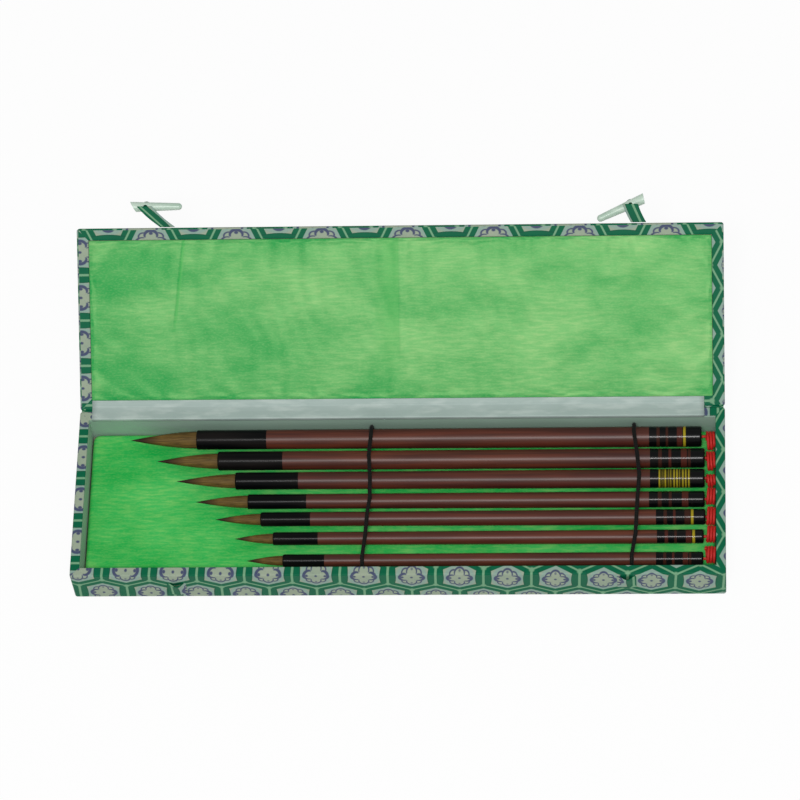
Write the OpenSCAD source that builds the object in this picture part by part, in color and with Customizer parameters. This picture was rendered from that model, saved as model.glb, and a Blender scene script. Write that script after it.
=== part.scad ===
// Calligraphy set box: a shallow cloth-covered tray with a hinged lid, two toggle
// closures and seven writing brushes held on a satin pad by two elastic cords.
// Millimetres. The origin is the centre of the underside, +X runs along the box to
// the caps of the brushes, +Y to the hinge and +Z up.

/* [Tray] */
// Outside length of the box
box_length = 330; // [320:1:360]
// Outside depth of the box, from front to hinge
box_depth = 94; // [94:1:110]
// Height of the tray from the table to its rim
tray_height = 24; // [23.5:0.5:32]
// Thickness of the board of the four walls
wall_board = 4; // [3:0.1:4]
// Thickness of the bottom board
bottom_board_t = 3; // [2:0.25:3]
// Thickness of the brocade glued over the boards
cloth_t = 0.5; // [0.3:0.05:0.5]
// Thickness of the satin paper on the inner walls
lining_t = 0.3; // [0.2:0.05:0.3]
// Thickness of the card under the floor pad
floor_card_t = 1.5; // [1:0.25:1.5]
// Room between the floor card and the lined walls
card_gap = 0.2; // [0.1:0.05:0.5]

/* [Pads] */
// Height of the floor pad at its crown
floor_pad_t = 4.7; // [4:0.1:5]
// Room between the floor pad and the lined walls
pad_gap = 0.8; // [0.5:0.1:1]
// Corner radius of both pads
pad_corner = 4; // [2:0.5:8]
// Height of the lid pad over the lid board
lid_pad_t = 1.6; // [1:0.1:1.7]
// How much each pad rises from its edge to its crown
pad_crown = 0.5; // [0.2:0.1:0.8]

/* [Lid] */
// Thickness of the lid board
lid_board_t = 3; // [2:0.25:5]
// How far the lid's edges stand back from the tray's faces
lid_inset = 0.3; // [0.1:0.1:1]
// Width of the brocade border round the lid pad
lid_border = 6.3; // [5.5:0.1:12]
// How far the lid stands open, from closed
lid_open = 146; // [90:1:180]

/* [Hinge paper] */
// Thickness of the paper strip on the rim and on the lid
paper_t = 0.3; // [0.2:0.05:0.5]
// Gap between the two paper strips when the lid is closed
paper_gap = 0.3; // [0.2:0.05:0.6]
// Width of the strip on the lid
paper_width = 4.6; // [3:0.1:5]
// How far the strip stops short of the left end
paper_left = 6.3; // [4:0.1:12]
// How far the strip stops short of the right end
paper_right = 10.5; // [4:0.1:15]

/* [Brushes] */
// How far the tip end of a brush handle reaches into its ferrule
spigot_length = 7; // [3:0.5:9]
// Radius of the spigots turned on both ends of a handle
spigot_radius = 1.8; // [1.2:0.1:2.2]
// How far the root of the hair reaches into the ferrule
hair_root = 6; // [3:0.5:9]
// Glue gap round spigots and hair roots
glue_gap = 0.05; // [0.03:0.01:0.1]
// Height of a brush over the floor pad's crown
brush_gap = 0.3; // [0.2:0.05:0.5]
// Depth of the turned grooves between the collar's rings
groove_depth = 0.15; // [0.05:0.05:0.3]
// Width of the turned grooves between the collar's rings
groove_width = 0.4; // [0.2:0.1:0.8]
// Radius of the rounded edge of a cap
cap_round = 1; // [0.4:0.1:1.5]
// Radius of the recess in a cap that holds the hanging cord
recess_radius = 1.2; // [0.8:0.1:1.6]
// Depth of the recess in a cap
recess_depth = 2; // [1:0.25:4]

/* [Cords] */
// Diameter of the red hanging cords
cord_d = 1; // [0.8:0.05:1]
// Distance between neighbouring turns of a hanging cord
cord_pitch = 1.5; // [1.5:0.05:1.6]
// Diameter of the elastic cords
elastic_d = 2; // [1.5:0.1:2]
// Gap between an elastic cord and the handles
elastic_gap = 0.2; // [0.15:0.05:0.3]
// Room round an elastic cord in the floor pad
elastic_hole_gap = 0.3; // [0.2:0.05:0.6]

/* [Closures] */
// Length of a belt loop up the front wall
loop_height = 13.5; // [8:0.5:15]
// Width of a belt loop across its two seams
loop_width = 9.6; // [8:0.1:12]
// How far a belt loop stands off the front wall
loop_rise = 2.4; // [1.6:0.1:2.4]
// Thickness of a belt loop
loop_t = 0.65; // [0.4:0.05:0.9]
// Height of the foot of the left belt loop
loop_left_z = 2; // [1:0.5:8]
// Height of the foot of the right belt loop
loop_right_z = 8; // [1:0.5:8.5]
// Width of a strap along the lid's edge
strap_width = 7.8; // [5:0.2:9]
// Thickness of a strap
strap_t = 0.8; // [0.5:0.1:1]
// Gap between a strap's root and the lid's edge
strap_gap = 0.3; // [0.2:0.1:0.8]
// Length of a toggle pin
pin_length = 26.6; // [20:0.2:30]
// Radius of a toggle pin at its cut end
pin_wide_r = 2.7; // [2.3:0.1:3.2]
// Radius of a toggle pin at its round tip
pin_tip_r = 1.8; // [1.2:0.1:2.2]
// Radius of the strap's neck through the pin
neck_r = 0.9; // [0.6:0.05:1.1]
// Gap round the neck, and between the pin and the strap's two faces
pin_gap = 0.3; // [0.2:0.05:0.5]

/* [Hidden] */
$fn = 64;
BRUSH_COUNT = 7;
BRUSH_PARTS = ["handle", "ferrule", "hair", "collar", "cord"];

// Levels and half sizes of the tray, from the table up and from the outside in
z_walls = cloth_t + bottom_board_t;
z_board_top = tray_height - cloth_t;
z_card = z_walls + floor_card_t;
z_pad = z_card + floor_pad_t;
x_out = box_length / 2;
y_out = box_depth / 2;
x_board = x_out - cloth_t;
y_board = y_out - cloth_t;
x_in = x_board - wall_board;
y_in = y_board - wall_board;
x_lined = x_in - lining_t;
y_lined = y_in - lining_t;

// The lid is drawn closed: its underside lies over the two hinge papers
y_lid = y_out - lid_inset;
z_lid = tray_height + 2 * paper_t + paper_gap;
z_lid_board = z_lid + cloth_t;
z_lid_top = z_lid_board + lid_board_t + cloth_t;
paper_y = y_lid - paper_width;
seam_gap = 0.4;
lid_pad_rear = paper_y - seam_gap;
lid_pad_front = -(y_lid - lid_border);
cut = 1;

// The tables below are drawn for this lined half length and these distances from the
// axes of the first and last brush to the lined walls: rows of brushes keep their
// share of the depth, and handles, elastics and closures their share of the length
DRAWN_X = 160.2;
REAR_ROOM = 7.6;
FRONT_ROOM = 8.5;
length_share = x_lined / DRAWN_X;

// One row for each brush, from the hinge to the front: place in Y, handle radius at
// the ferrule and at the collar, hair radius, then the lengths of hair, ferrule,
// handle, collar and cap, and the gap from the cap to the right wall
BRUSHES = [
    [34.6, 4.95, 5.25, 4.4, 34.3, 36.0, 195.4, 18.8, 7.9, 7.1],
    [22.5, 4.80, 4.95, 3.9, 31.3, 33.4, 187.2, 20.8, 6.9, 5.6],
    [11.0, 4.40, 4.80, 3.6, 30.3, 32.3, 178.8, 20.7, 6.9, 5.7],
    [-0.5, 3.75, 4.10, 3.2, 26.8, 30.0, 173.8, 22.1, 6.0, 5.7],
    [-10.5, 3.60, 4.00, 2.9, 23.3, 25.4, 175.0, 19.1, 5.8, 5.4],
    [-21.3, 3.30, 3.55, 2.6, 19.6, 22.9, 171.3, 19.3, 4.2, 6.3],
    [-33.7, 3.20, 3.50, 2.5, 18.4, 21.2, 167.1, 17.9, 5.8, 6.6]
];
FRONT_ROW_Y = BRUSHES[BRUSH_COUNT - 1][0];
row_share = (2 * y_lined - REAR_ROOM - FRONT_ROOM) / (BRUSHES[0][0] - FRONT_ROW_Y);
function placed_y(y) = FRONT_ROOM - y_lined + (y - FRONT_ROW_Y) * row_share;
function row_y(i) = placed_y(BRUSHES[i][0]);
function tip_end_r(i) = BRUSHES[i][1];
function cap_end_r(i) = BRUSHES[i][2];
function hair_r(i) = BRUSHES[i][3];
function cap_x(i) = x_lined - BRUSHES[i][9];
function cap_start_x(i) = cap_x(i) - BRUSHES[i][8];
function collar_x(i) = cap_start_x(i) - BRUSHES[i][7];
function handle_x(i) = collar_x(i) - BRUSHES[i][6] * length_share;
function ferrule_x(i) = handle_x(i) - BRUSHES[i][5];
function tip_x(i) = ferrule_x(i) - BRUSHES[i][4];
function axis_z(i) = z_pad + brush_gap + cap_end_r(i);
function handle_r_at(i, x) =
    tip_end_r(i) + (cap_end_r(i) - tip_end_r(i)) * (x - handle_x(i)) / (collar_x(i) - handle_x(i));

// Borders between a collar's rings, as shares of the collar's length
RING_MARKS = [0.19, 0.30, 0.44, 0.53, 0.74, 0.91];

// Centre in Y and half width of each hanging cord's coil: each stays in the lane
// between the neighbouring brushes, so that it slides with its own brush
COILS = [
    [32.9, 4.5],
    [21.3, 4.6],
    [10.0, 2.7],
    [1.4, 3.9],
    [-9.8, 4.3],
    [-20.0, 3.9],
    [-31.6, 3.9]
];
CORD_SIDES = 6;
TURN_RINGS = 18;
LEAD_RINGS = 9;
LEAD_SWEEP = 170;
LEAD_SPREAD = 1.25;
FIRST_TURN_ANGLE = 54;
MIN_COIL_HEIGHT = 3.2;
BEND_RADIUS = 2.3;
cord_rest_gap = 0.3;
x_far_turn = x_lined - cord_rest_gap - cord_d / 2;

// Where each elastic cord crosses the brushes, from the hinge to the front
ELASTIC_LEFT_X = [-15.2, -16, -15.1, -14.9, -16.1, -16.7, -17.9] * length_share;
ELASTIC_RIGHT_X = [118.8, 120.4, 121.5, 120.7, 120.2, 119.7, 117.8] * length_share;
ELASTIC_SIDES = 8;
ARC_STEP = 15;

// Toggle closures, given with the lid closed: the strap's root along X, how far its
// end leans along X, how far it reaches out, the angle of the pin's axis, the slant
// of its cut end and the way its cut end points
LOOP_X = [-111.7, 115.3] * length_share;
STRAPS = [
    [-119 * length_share, -10.9, 9.9, 0, 30, -1],
    [121.8 * length_share, -3.8, 8.5, -24, 13, 1]
];
PIN_SHARE = 0.3;
y_strap = -(y_lid + strap_gap + strap_t / 2);
z_strap = z_lid_top - strap_t / 2;
pin_neck_r = pin_wide_r + (pin_tip_r - pin_wide_r) * PIN_SHARE;
strap_overhang = 1.4;
tab_r = 2.6;

// Colours
BROCADE = [0.42, 0.60, 0.50];
SATIN = [0.35, 0.72, 0.42];
PAPER = [0.66, 0.73, 0.70];
BOARD = [0.55, 0.52, 0.46];
LACQUER = [0.30, 0.16, 0.13];
HORN = [0.08, 0.08, 0.08];
HAIR = [0.50, 0.36, 0.20];
SILK = [0.76, 0.15, 0.13];
BONE = [0.70, 0.80, 0.73];

// Swept and lofted surfaces: a list of rings with the same number of points, each
// ring running anticlockwise about the way the list goes
module loft(rings) {
    n = len(rings[0]);
    last = len(rings) - 1;
    sides = [
        for (i = [0:last - 1], j = [0:n - 1], half = [0, 1])
            let (a = i * n + j, b = i * n + (j + 1) % n)
            half == 0 ? [a, a + n, b + n] : [a, b + n, b]
    ];
    start_cap = [for (j = [0:n - 1]) j];
    end_cap = [for (j = [0:n - 1]) last * n + n - 1 - j];
    points = [for (ring = rings, p = ring) p];
    polyhedron(points, concat(sides, [start_cap, end_cap]), convexity = 8);
}

function unit(v) = v / norm(v);
function tangent(p, i) = unit(p[min(i + 1, len(p) - 1)] - p[max(i - 1, 0)]);
function off_axis(v, t) = unit(v - t * (v * t));

// A round tube along a route: each ring's first spoke is the last one's, turned
// as little as the bend needs
function tube_rings(route, d, sides, spoke) = [
    for (
        i = 0, u = off_axis(spoke, tangent(route, 0));
        i < len(route);
        i = i + 1, u = i < len(route) ? off_axis(u, tangent(route, i)) : u
    )
        let (v = cross(tangent(route, i), u))
        [for (j = [0:sides - 1])
            route[i] + d / 2 * (cos(360 * j / sides) * u + sin(360 * j / sides) * v)]
];

function route_length(route) =
    len(route) < 2 ? 0 : [for (i = [1:len(route) - 1]) norm(route[i] - route[i - 1])]
        * [for (i = [1:len(route) - 1]) 1];

// Least distance between stretches of a route that are half a turn or more apart
function self_gap(route, d, apart) = min([
    for (i = [0:len(route) - 1 - apart], j = [i + apart:len(route) - 1])
        norm(route[i] - route[j])
]) - d;

// A rounded rectangle as a ring of points
function pad_ring(half_x, half_y, corner, z) = [
    for (quarter = [0:3], step = [0:5])
        let (
            angle = 90 * quarter + 18 * step,
            side_x = (quarter == 0 || quarter == 3) ? 1 : -1,
            side_y = quarter < 2 ? 1 : -1
        )
        [
            side_x * (half_x - corner) + corner * cos(angle),
            side_y * (half_y - corner) + corner * sin(angle),
            z
        ]
];

// A padded satin cushion with drawn-in, rounded sides and a crown
CROWN_INSETS = [4, 9, 16, 26];
MAX_BULGE = 1.6;
CROWN_CORNER = 1.5;
module cushion(half_x, half_y, height) {
    side = height - pad_crown;
    bulge = min(side / 2, MAX_BULGE);
    side_rings = [
        for (a = [-60, -30, 0, 25, 50, 75])
            let (inset = bulge * (1 - cos(a)))
            pad_ring(
                half_x - inset,
                half_y - inset,
                pad_corner - inset,
                side * (1 + sin(a) / sin(75)) / 2
            )
    ];
    lift = side * (1 - sin(60) / sin(75)) / 2;
    base_ring = pad_ring(half_x - bulge / 2, half_y - bulge / 2, pad_corner - bulge / 2, 0);
    crown_rings = [
        for (inset = CROWN_INSETS)
            let (share = inset / CROWN_INSETS[3])
            pad_ring(
                half_x - inset,
                half_y - inset,
                max(pad_corner - inset, CROWN_CORNER),
                side + pad_crown * (1 - (1 - share) * (1 - share))
            )
    ];
    loft(lift > 0.05 ? concat([base_ring], side_rings, crown_rings) : concat(side_rings, crown_rings));
}

// The lid and all it carries, turned from closed to its open place
module lid_place() {
    translate([0, y_out, tray_height])
        rotate([-lid_open, 0, 0])
            translate([0, -y_out, -tray_height])
                children();
}

// A turned piece: its outline is given as radius and place along X
module turned(i, outline) {
    translate([0, row_y(i), axis_z(i)])
        rotate([0, 90, 0])
            rotate_extrude()
                polygon(outline);
}

// Tray

module underside_sheet() {
    color(BROCADE)
        translate([-x_out, -y_out, 0])
            cube([box_length, box_depth, cloth_t]);
}

module bottom_board() {
    color(BOARD)
        translate([-x_board, -y_board, cloth_t])
            cube([2 * x_board, 2 * y_board, bottom_board_t]);
}

module long_wall(side) {
    color(BOARD)
        translate([-x_board, side > 0 ? y_in : -y_board, z_walls])
            cube([2 * x_board, wall_board, z_board_top - z_walls]);
}

module end_wall(side) {
    color(BOARD)
        translate([side > 0 ? x_in : -x_board, -y_in, z_walls])
            cube([wall_board, 2 * y_in, z_board_top - z_walls]);
}

// Brocade over the outer faces of the walls and over the rim
module tray_cover() {
    color(BROCADE)
        difference() {
            translate([-x_out, -y_out, cloth_t])
                cube([box_length, box_depth, tray_height - cloth_t]);
            translate([-x_board, -y_board, cloth_t - cut])
                cube([2 * x_board, 2 * y_board, z_board_top - cloth_t + cut]);
            translate([-x_lined, -y_lined, cloth_t])
                cube([2 * x_lined, 2 * y_lined, tray_height]);
        }
}

module wall_lining() {
    color(SATIN)
        difference() {
            translate([-x_in, -y_in, z_walls])
                cube([2 * x_in, 2 * y_in, z_board_top - z_walls]);
            translate([-x_lined, -y_lined, z_walls - cut])
                cube([2 * x_lined, 2 * y_lined, tray_height]);
        }
}

module floor_card() {
    card_x = x_lined - card_gap;
    card_y = y_lined - card_gap;
    color(BOARD)
        translate([-card_x, -card_y, z_walls])
            cube([2 * card_x, 2 * card_y, floor_card_t]);
}

// The pad has a hole or a notch at each end of both elastic cords
module floor_pad() {
    ends = [for (xs = [ELASTIC_LEFT_X, ELASTIC_RIGHT_X], e = [0, 1]) elastic_end(xs, e)];
    color(SATIN)
        difference() {
            translate([0, 0, z_card])
                cushion(x_lined - pad_gap, y_lined - pad_gap, floor_pad_t);
            for (p = ends)
                translate([p[0], p[1], z_card - cut])
                    cylinder(r = elastic_d / 2 + elastic_hole_gap, h = floor_pad_t + 2 * cut);
        }
}

module hinge_paper(z, y_front) {
    color(PAPER)
        translate([-x_out + paper_left, y_front, z])
            cube([box_length - paper_left - paper_right, y_lid - y_front, paper_t]);
}

// Belt loops on the front wall: a strip that bows out between its two seams
module belt_loop(x, z) {
    outer_r = (loop_width * loop_width / 4 + loop_rise * loop_rise) / (2 * loop_rise);
    translate([x, -y_out, z])
        color(BROCADE)
            linear_extrude(loop_height)
                difference() {
                    translate([0, outer_r - loop_rise])
                        circle(outer_r);
                    translate([0, outer_r - loop_rise])
                        circle(outer_r - loop_t);
                    translate([-2 * outer_r, 0])
                        square([4 * outer_r, 4 * outer_r]);
                }
}

// Elastic cords: up out of the pad, round each handle, straight from one to the next
function elastic_r(xs, i) = handle_r_at(i, xs[i]) + elastic_gap + elastic_d / 2;
function elastic_angle(xs, i) =
    let (
        dy = row_y(i + 1) - row_y(i),
        dz = axis_z(i + 1) - axis_z(i),
        slope = atan2(dz, dy),
        lean = acos((elastic_r(xs, i) - elastic_r(xs, i + 1)) / norm([dy, dz]))
    )
    (slope < 0 ? slope + 360 : slope) - lean;
function arc_angles(a, b) =
    b - a < 4 ? [(a + b) / 2]
    : let (n = ceil((b - a) / ARC_STEP)) [for (k = [0:n]) a + (b - a) * k / n];
function elastic_arc(xs, i) =
    let (
        first = i == 0 ? 0 : elastic_angle(xs, i - 1),
        last = i == BRUSH_COUNT - 1 ? 180 : elastic_angle(xs, i),
        r = elastic_r(xs, i)
    )
    [for (a = arc_angles(first, last)) [xs[i], row_y(i) + r * cos(a), axis_z(i) + r * sin(a)]];
function elastic_end(xs, end) =
    let (i = end * (BRUSH_COUNT - 1), r = elastic_r(xs, i))
    [xs[i], row_y(i) + (end == 0 ? r : -r), z_card];
function elastic_route(xs) = concat(
    [for (share = [0, 0.4, 0.7]) elastic_end(xs, 0) + [0, 0, share * (axis_z(0) - z_card)]],
    [for (i = [0:BRUSH_COUNT - 1], p = elastic_arc(xs, i)) p],
    [for (share = [0.7, 0.4, 0]) elastic_end(xs, 1)
        + [0, 0, share * (axis_z(BRUSH_COUNT - 1) - z_card)]]
);

module elastic(xs) {
    color(HORN)
        loft(tube_rings(elastic_route(xs), elastic_d, ELASTIC_SIDES, [1, 0, 0]));
}

// Lid

module lid_board() {
    color(BOARD)
        lid_place()
            translate([-x_board, -(y_lid - cloth_t), z_lid_board])
                cube([2 * x_board, 2 * (y_lid - cloth_t), lid_board_t]);
}

// Brocade over the lid's outer face and edges, turned in round the pad
module lid_cover() {
    edge_y = y_lid - cloth_t;
    window_x = x_out - lid_border + cloth_t;
    window_front = lid_pad_front - cloth_t;
    window_rear = lid_pad_rear + seam_gap / 2;
    color(BROCADE)
        lid_place()
            difference() {
                translate([-x_out, -y_lid, z_lid])
                    cube([box_length, 2 * y_lid, z_lid_top - z_lid]);
                translate([-x_board, -edge_y, z_lid_board])
                    cube([2 * x_board, 2 * edge_y, lid_board_t]);
                translate([-window_x, window_front, z_lid - cut])
                    cube([2 * window_x, window_rear - window_front, 2 * cut]);
            }
}

module lid_pad() {
    half_y = (lid_pad_rear - lid_pad_front) / 2;
    color(SATIN)
        lid_place()
            translate([0, lid_pad_front + half_y, z_lid_board])
                rotate([180, 0, 0])
                    cushion(x_out - lid_border, half_y, lid_pad_t);
}

// Closures: each strap is a slanted tape whose root turns at the lid's edge; its end
// carries a neck through the toggle pin and a folded tab behind the pin

module strap(s) {
    stack = 2 * pin_neck_r + 2 * pin_gap;
    end_y = -(s[2] + strap_overhang);
    end_x = s[1] * -end_y / s[2];
    color(BROCADE)
        lid_place()
            translate([s[0], y_strap, z_strap]) {
                translate([-strap_width / 2, 0, 0])
                    rotate([0, 90, 0])
                        cylinder(d = strap_t, h = strap_width);
                translate([0, 0, -strap_t / 2])
                    linear_extrude(strap_t)
                        polygon([
                            [-strap_width / 2, 0],
                            [end_x - strap_width / 2, end_y],
                            [end_x + strap_width / 2, end_y],
                            [strap_width / 2, 0]
                        ]);
                translate([s[1], -s[2], 0])
                    cylinder(r = neck_r, h = strap_t / 2 + stack + strap_t);
                translate([s[1], -s[2], strap_t / 2 + stack])
                    cylinder(r = tab_r, h = strap_t);
            }
}

// A tapered bone pin with a round tip, a slanted cut end and a bore for the neck
module toggle(s) {
    cut_x = pin_length * PIN_SHARE;
    tip_x = cut_x - pin_length + pin_tip_r;
    big = 4 * pin_wide_r;
    color(BONE)
        lid_place()
            translate([s[0] + s[1], y_strap - s[2], z_strap + strap_t / 2 + pin_gap + pin_neck_r])
                rotate([0, 0, s[3]])
                    mirror([s[5] < 0 ? 1 : 0, 0, 0])
                        difference() {
                            rotate([0, 90, 0])
                                rotate_extrude()
                                    polygon(concat(
                                        [[0, cut_x], [pin_wide_r, cut_x]],
                                        [for (a = [0:10:90])
                                            [pin_tip_r * cos(a), tip_x - pin_tip_r * sin(a)]]
                                    ));
                            cylinder(r = neck_r + pin_gap, h = big, center = true);
                            translate([cut_x, -pin_wide_r, -big / 2])
                                rotate([0, 0, s[4]])
                                    translate([0, -big, 0])
                                        cube([big, 3 * big, big]);
                        }
}

// Brushes

module brush_handle(i) {
    tip_spigot = spigot_length - glue_gap;
    color(LACQUER)
        turned(i, [
            [0, handle_x(i) - tip_spigot],
            [spigot_radius, handle_x(i) - tip_spigot],
            [spigot_radius, handle_x(i)],
            [tip_end_r(i), handle_x(i)],
            [cap_end_r(i), collar_x(i)],
            [spigot_radius, collar_x(i)],
            [spigot_radius, collar_x(i) + tip_spigot],
            [0, collar_x(i) + tip_spigot]
        ]);
}

// Horn ferrule: bored for the hair at one end and for the handle at the other
module brush_ferrule(i) {
    lip = tip_end_r(i) - hair_r(i) - glue_gap;
    color(HORN)
        turned(i, concat(
            [[hair_r(i) + glue_gap, ferrule_x(i)]],
            [for (a = [90:-15:0])
                [tip_end_r(i) - lip + lip * cos(a), ferrule_x(i) + lip - lip * sin(a)]],
            [
                [tip_end_r(i), handle_x(i)],
                [spigot_radius + glue_gap, handle_x(i)],
                [spigot_radius + glue_gap, handle_x(i) - spigot_length],
                [0, handle_x(i) - spigot_length],
                [0, ferrule_x(i) + hair_root],
                [hair_r(i) + glue_gap, ferrule_x(i) + hair_root]
            ]
        ));
}

// Starched hair, drawn to a point
module brush_hair(i) {
    reach = ferrule_x(i) - tip_x(i);
    color(HAIR)
        turned(i, concat(
            [
                [0, ferrule_x(i) + hair_root],
                [hair_r(i), ferrule_x(i) + hair_root]
            ],
            [for (t = [0:0.0625:1])
                [hair_r(i) * pow(1 - pow(t, 1.75), 1.05), ferrule_x(i) - reach * t]]
        ));
}

// Ringed collar and cap, turned as one piece
module brush_collar(i) {
    r = cap_end_r(i);
    start = collar_x(i);
    length = cap_start_x(i) - start;
    color(HORN)
        turned(i, concat(
            [
                [0, start + spigot_length],
                [spigot_radius + glue_gap, start + spigot_length],
                [spigot_radius + glue_gap, start],
                [r, start]
            ],
            [for (mark = RING_MARKS, corner = [[0, -1], [1, -1], [1, 1], [0, 1]])
                [r - corner[0] * groove_depth, start + length * mark + corner[1] * groove_width / 2]],
            [for (a = [0:15:90])
                [r - cap_round + cap_round * cos(a), cap_x(i) - cap_round + cap_round * sin(a)]],
            [
                [recess_radius, cap_x(i)],
                [recess_radius, cap_x(i) - recess_depth],
                [0, cap_x(i) - recess_depth]
            ]
        ));
}

// Hanging cords: out of the cap, through the coil to its far side, then wound back
function coil_y(i) = placed_y(COILS[i][0]);
function coil_a(i) = COILS[i][1] * row_share;
function coil_b(i) = max(MIN_COIL_HEIGHT, sqrt(BEND_RADIUS * coil_a(i)));
function coil_z(i) = z_pad + cord_rest_gap + cord_d / 2 + coil_b(i);
function next_cap_x(i) = max([for (k = [max(i - 1, 0):min(i + 1, BRUSH_COUNT - 1)]) cap_x(k)]);
function coil_turns(i) =
    floor(4 * (x_far_turn - next_cap_x(i) - cord_rest_gap - cord_d / 2) / cord_pitch) / 4;
function coil_hand(i) = coil_y(i) < row_y(i) ? -1 : 1;
function on_coil(i, x, angle, centre, share) = [
    x,
    centre[0] + share * coil_a(i) * cos(angle) * coil_hand(i),
    centre[1] + share * coil_b(i) * sin(angle)
];
function cord_route(i) =
    let (
        mouth = cap_x(i) + cord_d,
        axis = [row_y(i), axis_z(i)],
        middle = [coil_y(i), coil_z(i)],
        turns = coil_turns(i),
        steps = round(TURN_RINGS * turns),
        straight = [for (x = [cap_x(i) - recess_depth, cap_x(i), mouth]) [x, axis[0], axis[1]]],
        lead = [
            for (k = [1:LEAD_RINGS])
                let (
                    back = 1 - k / LEAD_RINGS,
                    ease = (1 - back) * (1 - back) * (1 + 2 * back)
                )
                on_coil(
                    i,
                    x_far_turn - (x_far_turn - mouth) * pow(back, 3),
                    FIRST_TURN_ANGLE - LEAD_SWEEP * back,
                    axis + ease * (middle - axis),
                    1 - pow(back, LEAD_SPREAD)
                )
        ],
        winding = [
            for (k = [1:steps])
                on_coil(
                    i,
                    x_far_turn - cord_pitch * turns * k / steps,
                    FIRST_TURN_ANGLE + 360 * turns * k / steps,
                    middle,
                    1
                )
        ],
        last = winding[steps - 1],
        way = unit(last - winding[steps - 2])
    )
    concat(straight, lead, winding, [last + way * cord_d]);

module brush_cord(i) {
    route = cord_route(i);
    echo(str(
        "brush_", i + 1, "_cord: length ", route_length(route),
        ", least gap to itself ", self_gap(route, cord_d, 7),
        ", turns ", coil_turns(i)
    ));
    color(SILK)
        loft(tube_rings(route, cord_d, CORD_SIDES, [0, 0, 1]));
}

module brush_part(i, part) {
    if (part == "handle") brush_handle(i);
    if (part == "ferrule") brush_ferrule(i);
    if (part == "hair") brush_hair(i);
    if (part == "collar") brush_collar(i);
    if (part == "cord") brush_cord(i);
}

underside_sheet();
bottom_board();
long_wall(-1);  // front_wall
long_wall(1);  // rear_wall
end_wall(-1);  // left_wall
end_wall(1);  // right_wall
tray_cover();
wall_lining();
floor_card();
floor_pad();
hinge_paper(tray_height, y_lined);  // hinge_paper_tray
belt_loop(LOOP_X[0], loop_left_z);  // loop_left
belt_loop(LOOP_X[1], loop_right_z);  // loop_right
elastic(ELASTIC_LEFT_X);  // elastic_left
elastic(ELASTIC_RIGHT_X);  // elastic_right
lid_board();
lid_cover();
lid_pad();
lid_place() hinge_paper(z_lid - paper_t, paper_y);  // hinge_paper_lid
strap(STRAPS[0]);  // strap_left
strap(STRAPS[1]);  // strap_right
toggle(STRAPS[0]);  // toggle_left
toggle(STRAPS[1]);  // toggle_right
for (i = [0:BRUSH_COUNT - 1], part = BRUSH_PARTS)
    brush_part(i, part);
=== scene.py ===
# %% [markdown]
# # A brush box in brocade, satin, lacquer and silk
# The box is a shallow tray with a hinged lid. Boards give it its shape, and cloth gives
# it its looks: patterned brocade outside, padded green satin inside. Seven brushes lie on
# the satin under two elastic cords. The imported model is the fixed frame: every piece
# below is made in metres, in the place that the model gives it.

import bpy
import numpy as np
from mathutils import Matrix


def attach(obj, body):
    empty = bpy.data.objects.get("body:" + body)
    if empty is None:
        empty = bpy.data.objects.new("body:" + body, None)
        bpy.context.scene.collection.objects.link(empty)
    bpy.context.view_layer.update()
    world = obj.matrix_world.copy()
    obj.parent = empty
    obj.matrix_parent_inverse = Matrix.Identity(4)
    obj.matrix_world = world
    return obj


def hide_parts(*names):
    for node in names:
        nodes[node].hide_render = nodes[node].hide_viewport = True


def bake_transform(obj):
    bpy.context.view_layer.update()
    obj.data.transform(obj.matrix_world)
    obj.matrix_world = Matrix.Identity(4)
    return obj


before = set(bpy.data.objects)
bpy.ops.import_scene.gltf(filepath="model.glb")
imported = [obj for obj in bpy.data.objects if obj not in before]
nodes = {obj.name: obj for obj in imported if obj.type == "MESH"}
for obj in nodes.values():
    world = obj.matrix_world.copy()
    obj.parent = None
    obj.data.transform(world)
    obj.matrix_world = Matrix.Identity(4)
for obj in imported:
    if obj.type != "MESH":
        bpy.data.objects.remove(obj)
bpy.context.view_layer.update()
MM = 0.001

# %% [markdown]
# ## The camera
# A long lens from high up in front, found from the corners of the tray and the lid.
# Its matrix is built from three angles: yaw turns it about the vertical, pitch tips it
# down, and roll turns the picture itself.

# %% Camera
LENS_PIXELS = 4600
PICTURE_PIXELS = 800
SENSOR = 36
CAMERA_PLACE = [0.1654, -1.0552, 2.0914]
YAW_PITCH_ROLL = np.radians([8.526, 61.556, -7.945])


def camera_matrix(place, yaw, pitch, roll):
    """Columns are the camera's right, up and backward axes, each worked out from the
    three angles, and its place."""
    forward = np.array([-np.sin(yaw) * np.cos(pitch), np.cos(yaw) * np.cos(pitch), -np.sin(pitch)])
    level = np.array([np.cos(yaw), np.sin(yaw), 0])
    upright = np.cross(level, forward)
    right = np.cos(roll) * level + np.sin(roll) * upright
    up = -np.sin(roll) * level + np.cos(roll) * upright
    matrix = np.eye(4)
    matrix[:3, :4] = np.stack([right, up, -forward, np.array(place)], 1)
    return Matrix(matrix.tolist())


camera_data = bpy.data.cameras.new("camera")
camera_data.sensor_width = SENSOR
camera_data.lens = SENSOR * LENS_PIXELS / PICTURE_PIXELS
camera_data.clip_end = 20
camera = bpy.data.objects.new("camera", camera_data)
camera.matrix_world = camera_matrix(CAMERA_PLACE, *YAW_PITCH_ROLL)
bpy.context.scene.collection.objects.link(camera)
bpy.context.scene.camera = camera

# %% [markdown]
# ## Helpers for surfaces
# Every new surface is a grid of points: rings that follow each other. One function turns
# such a grid into a mesh whose faces point outwards, and another writes its cloth
# coordinates.

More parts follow.
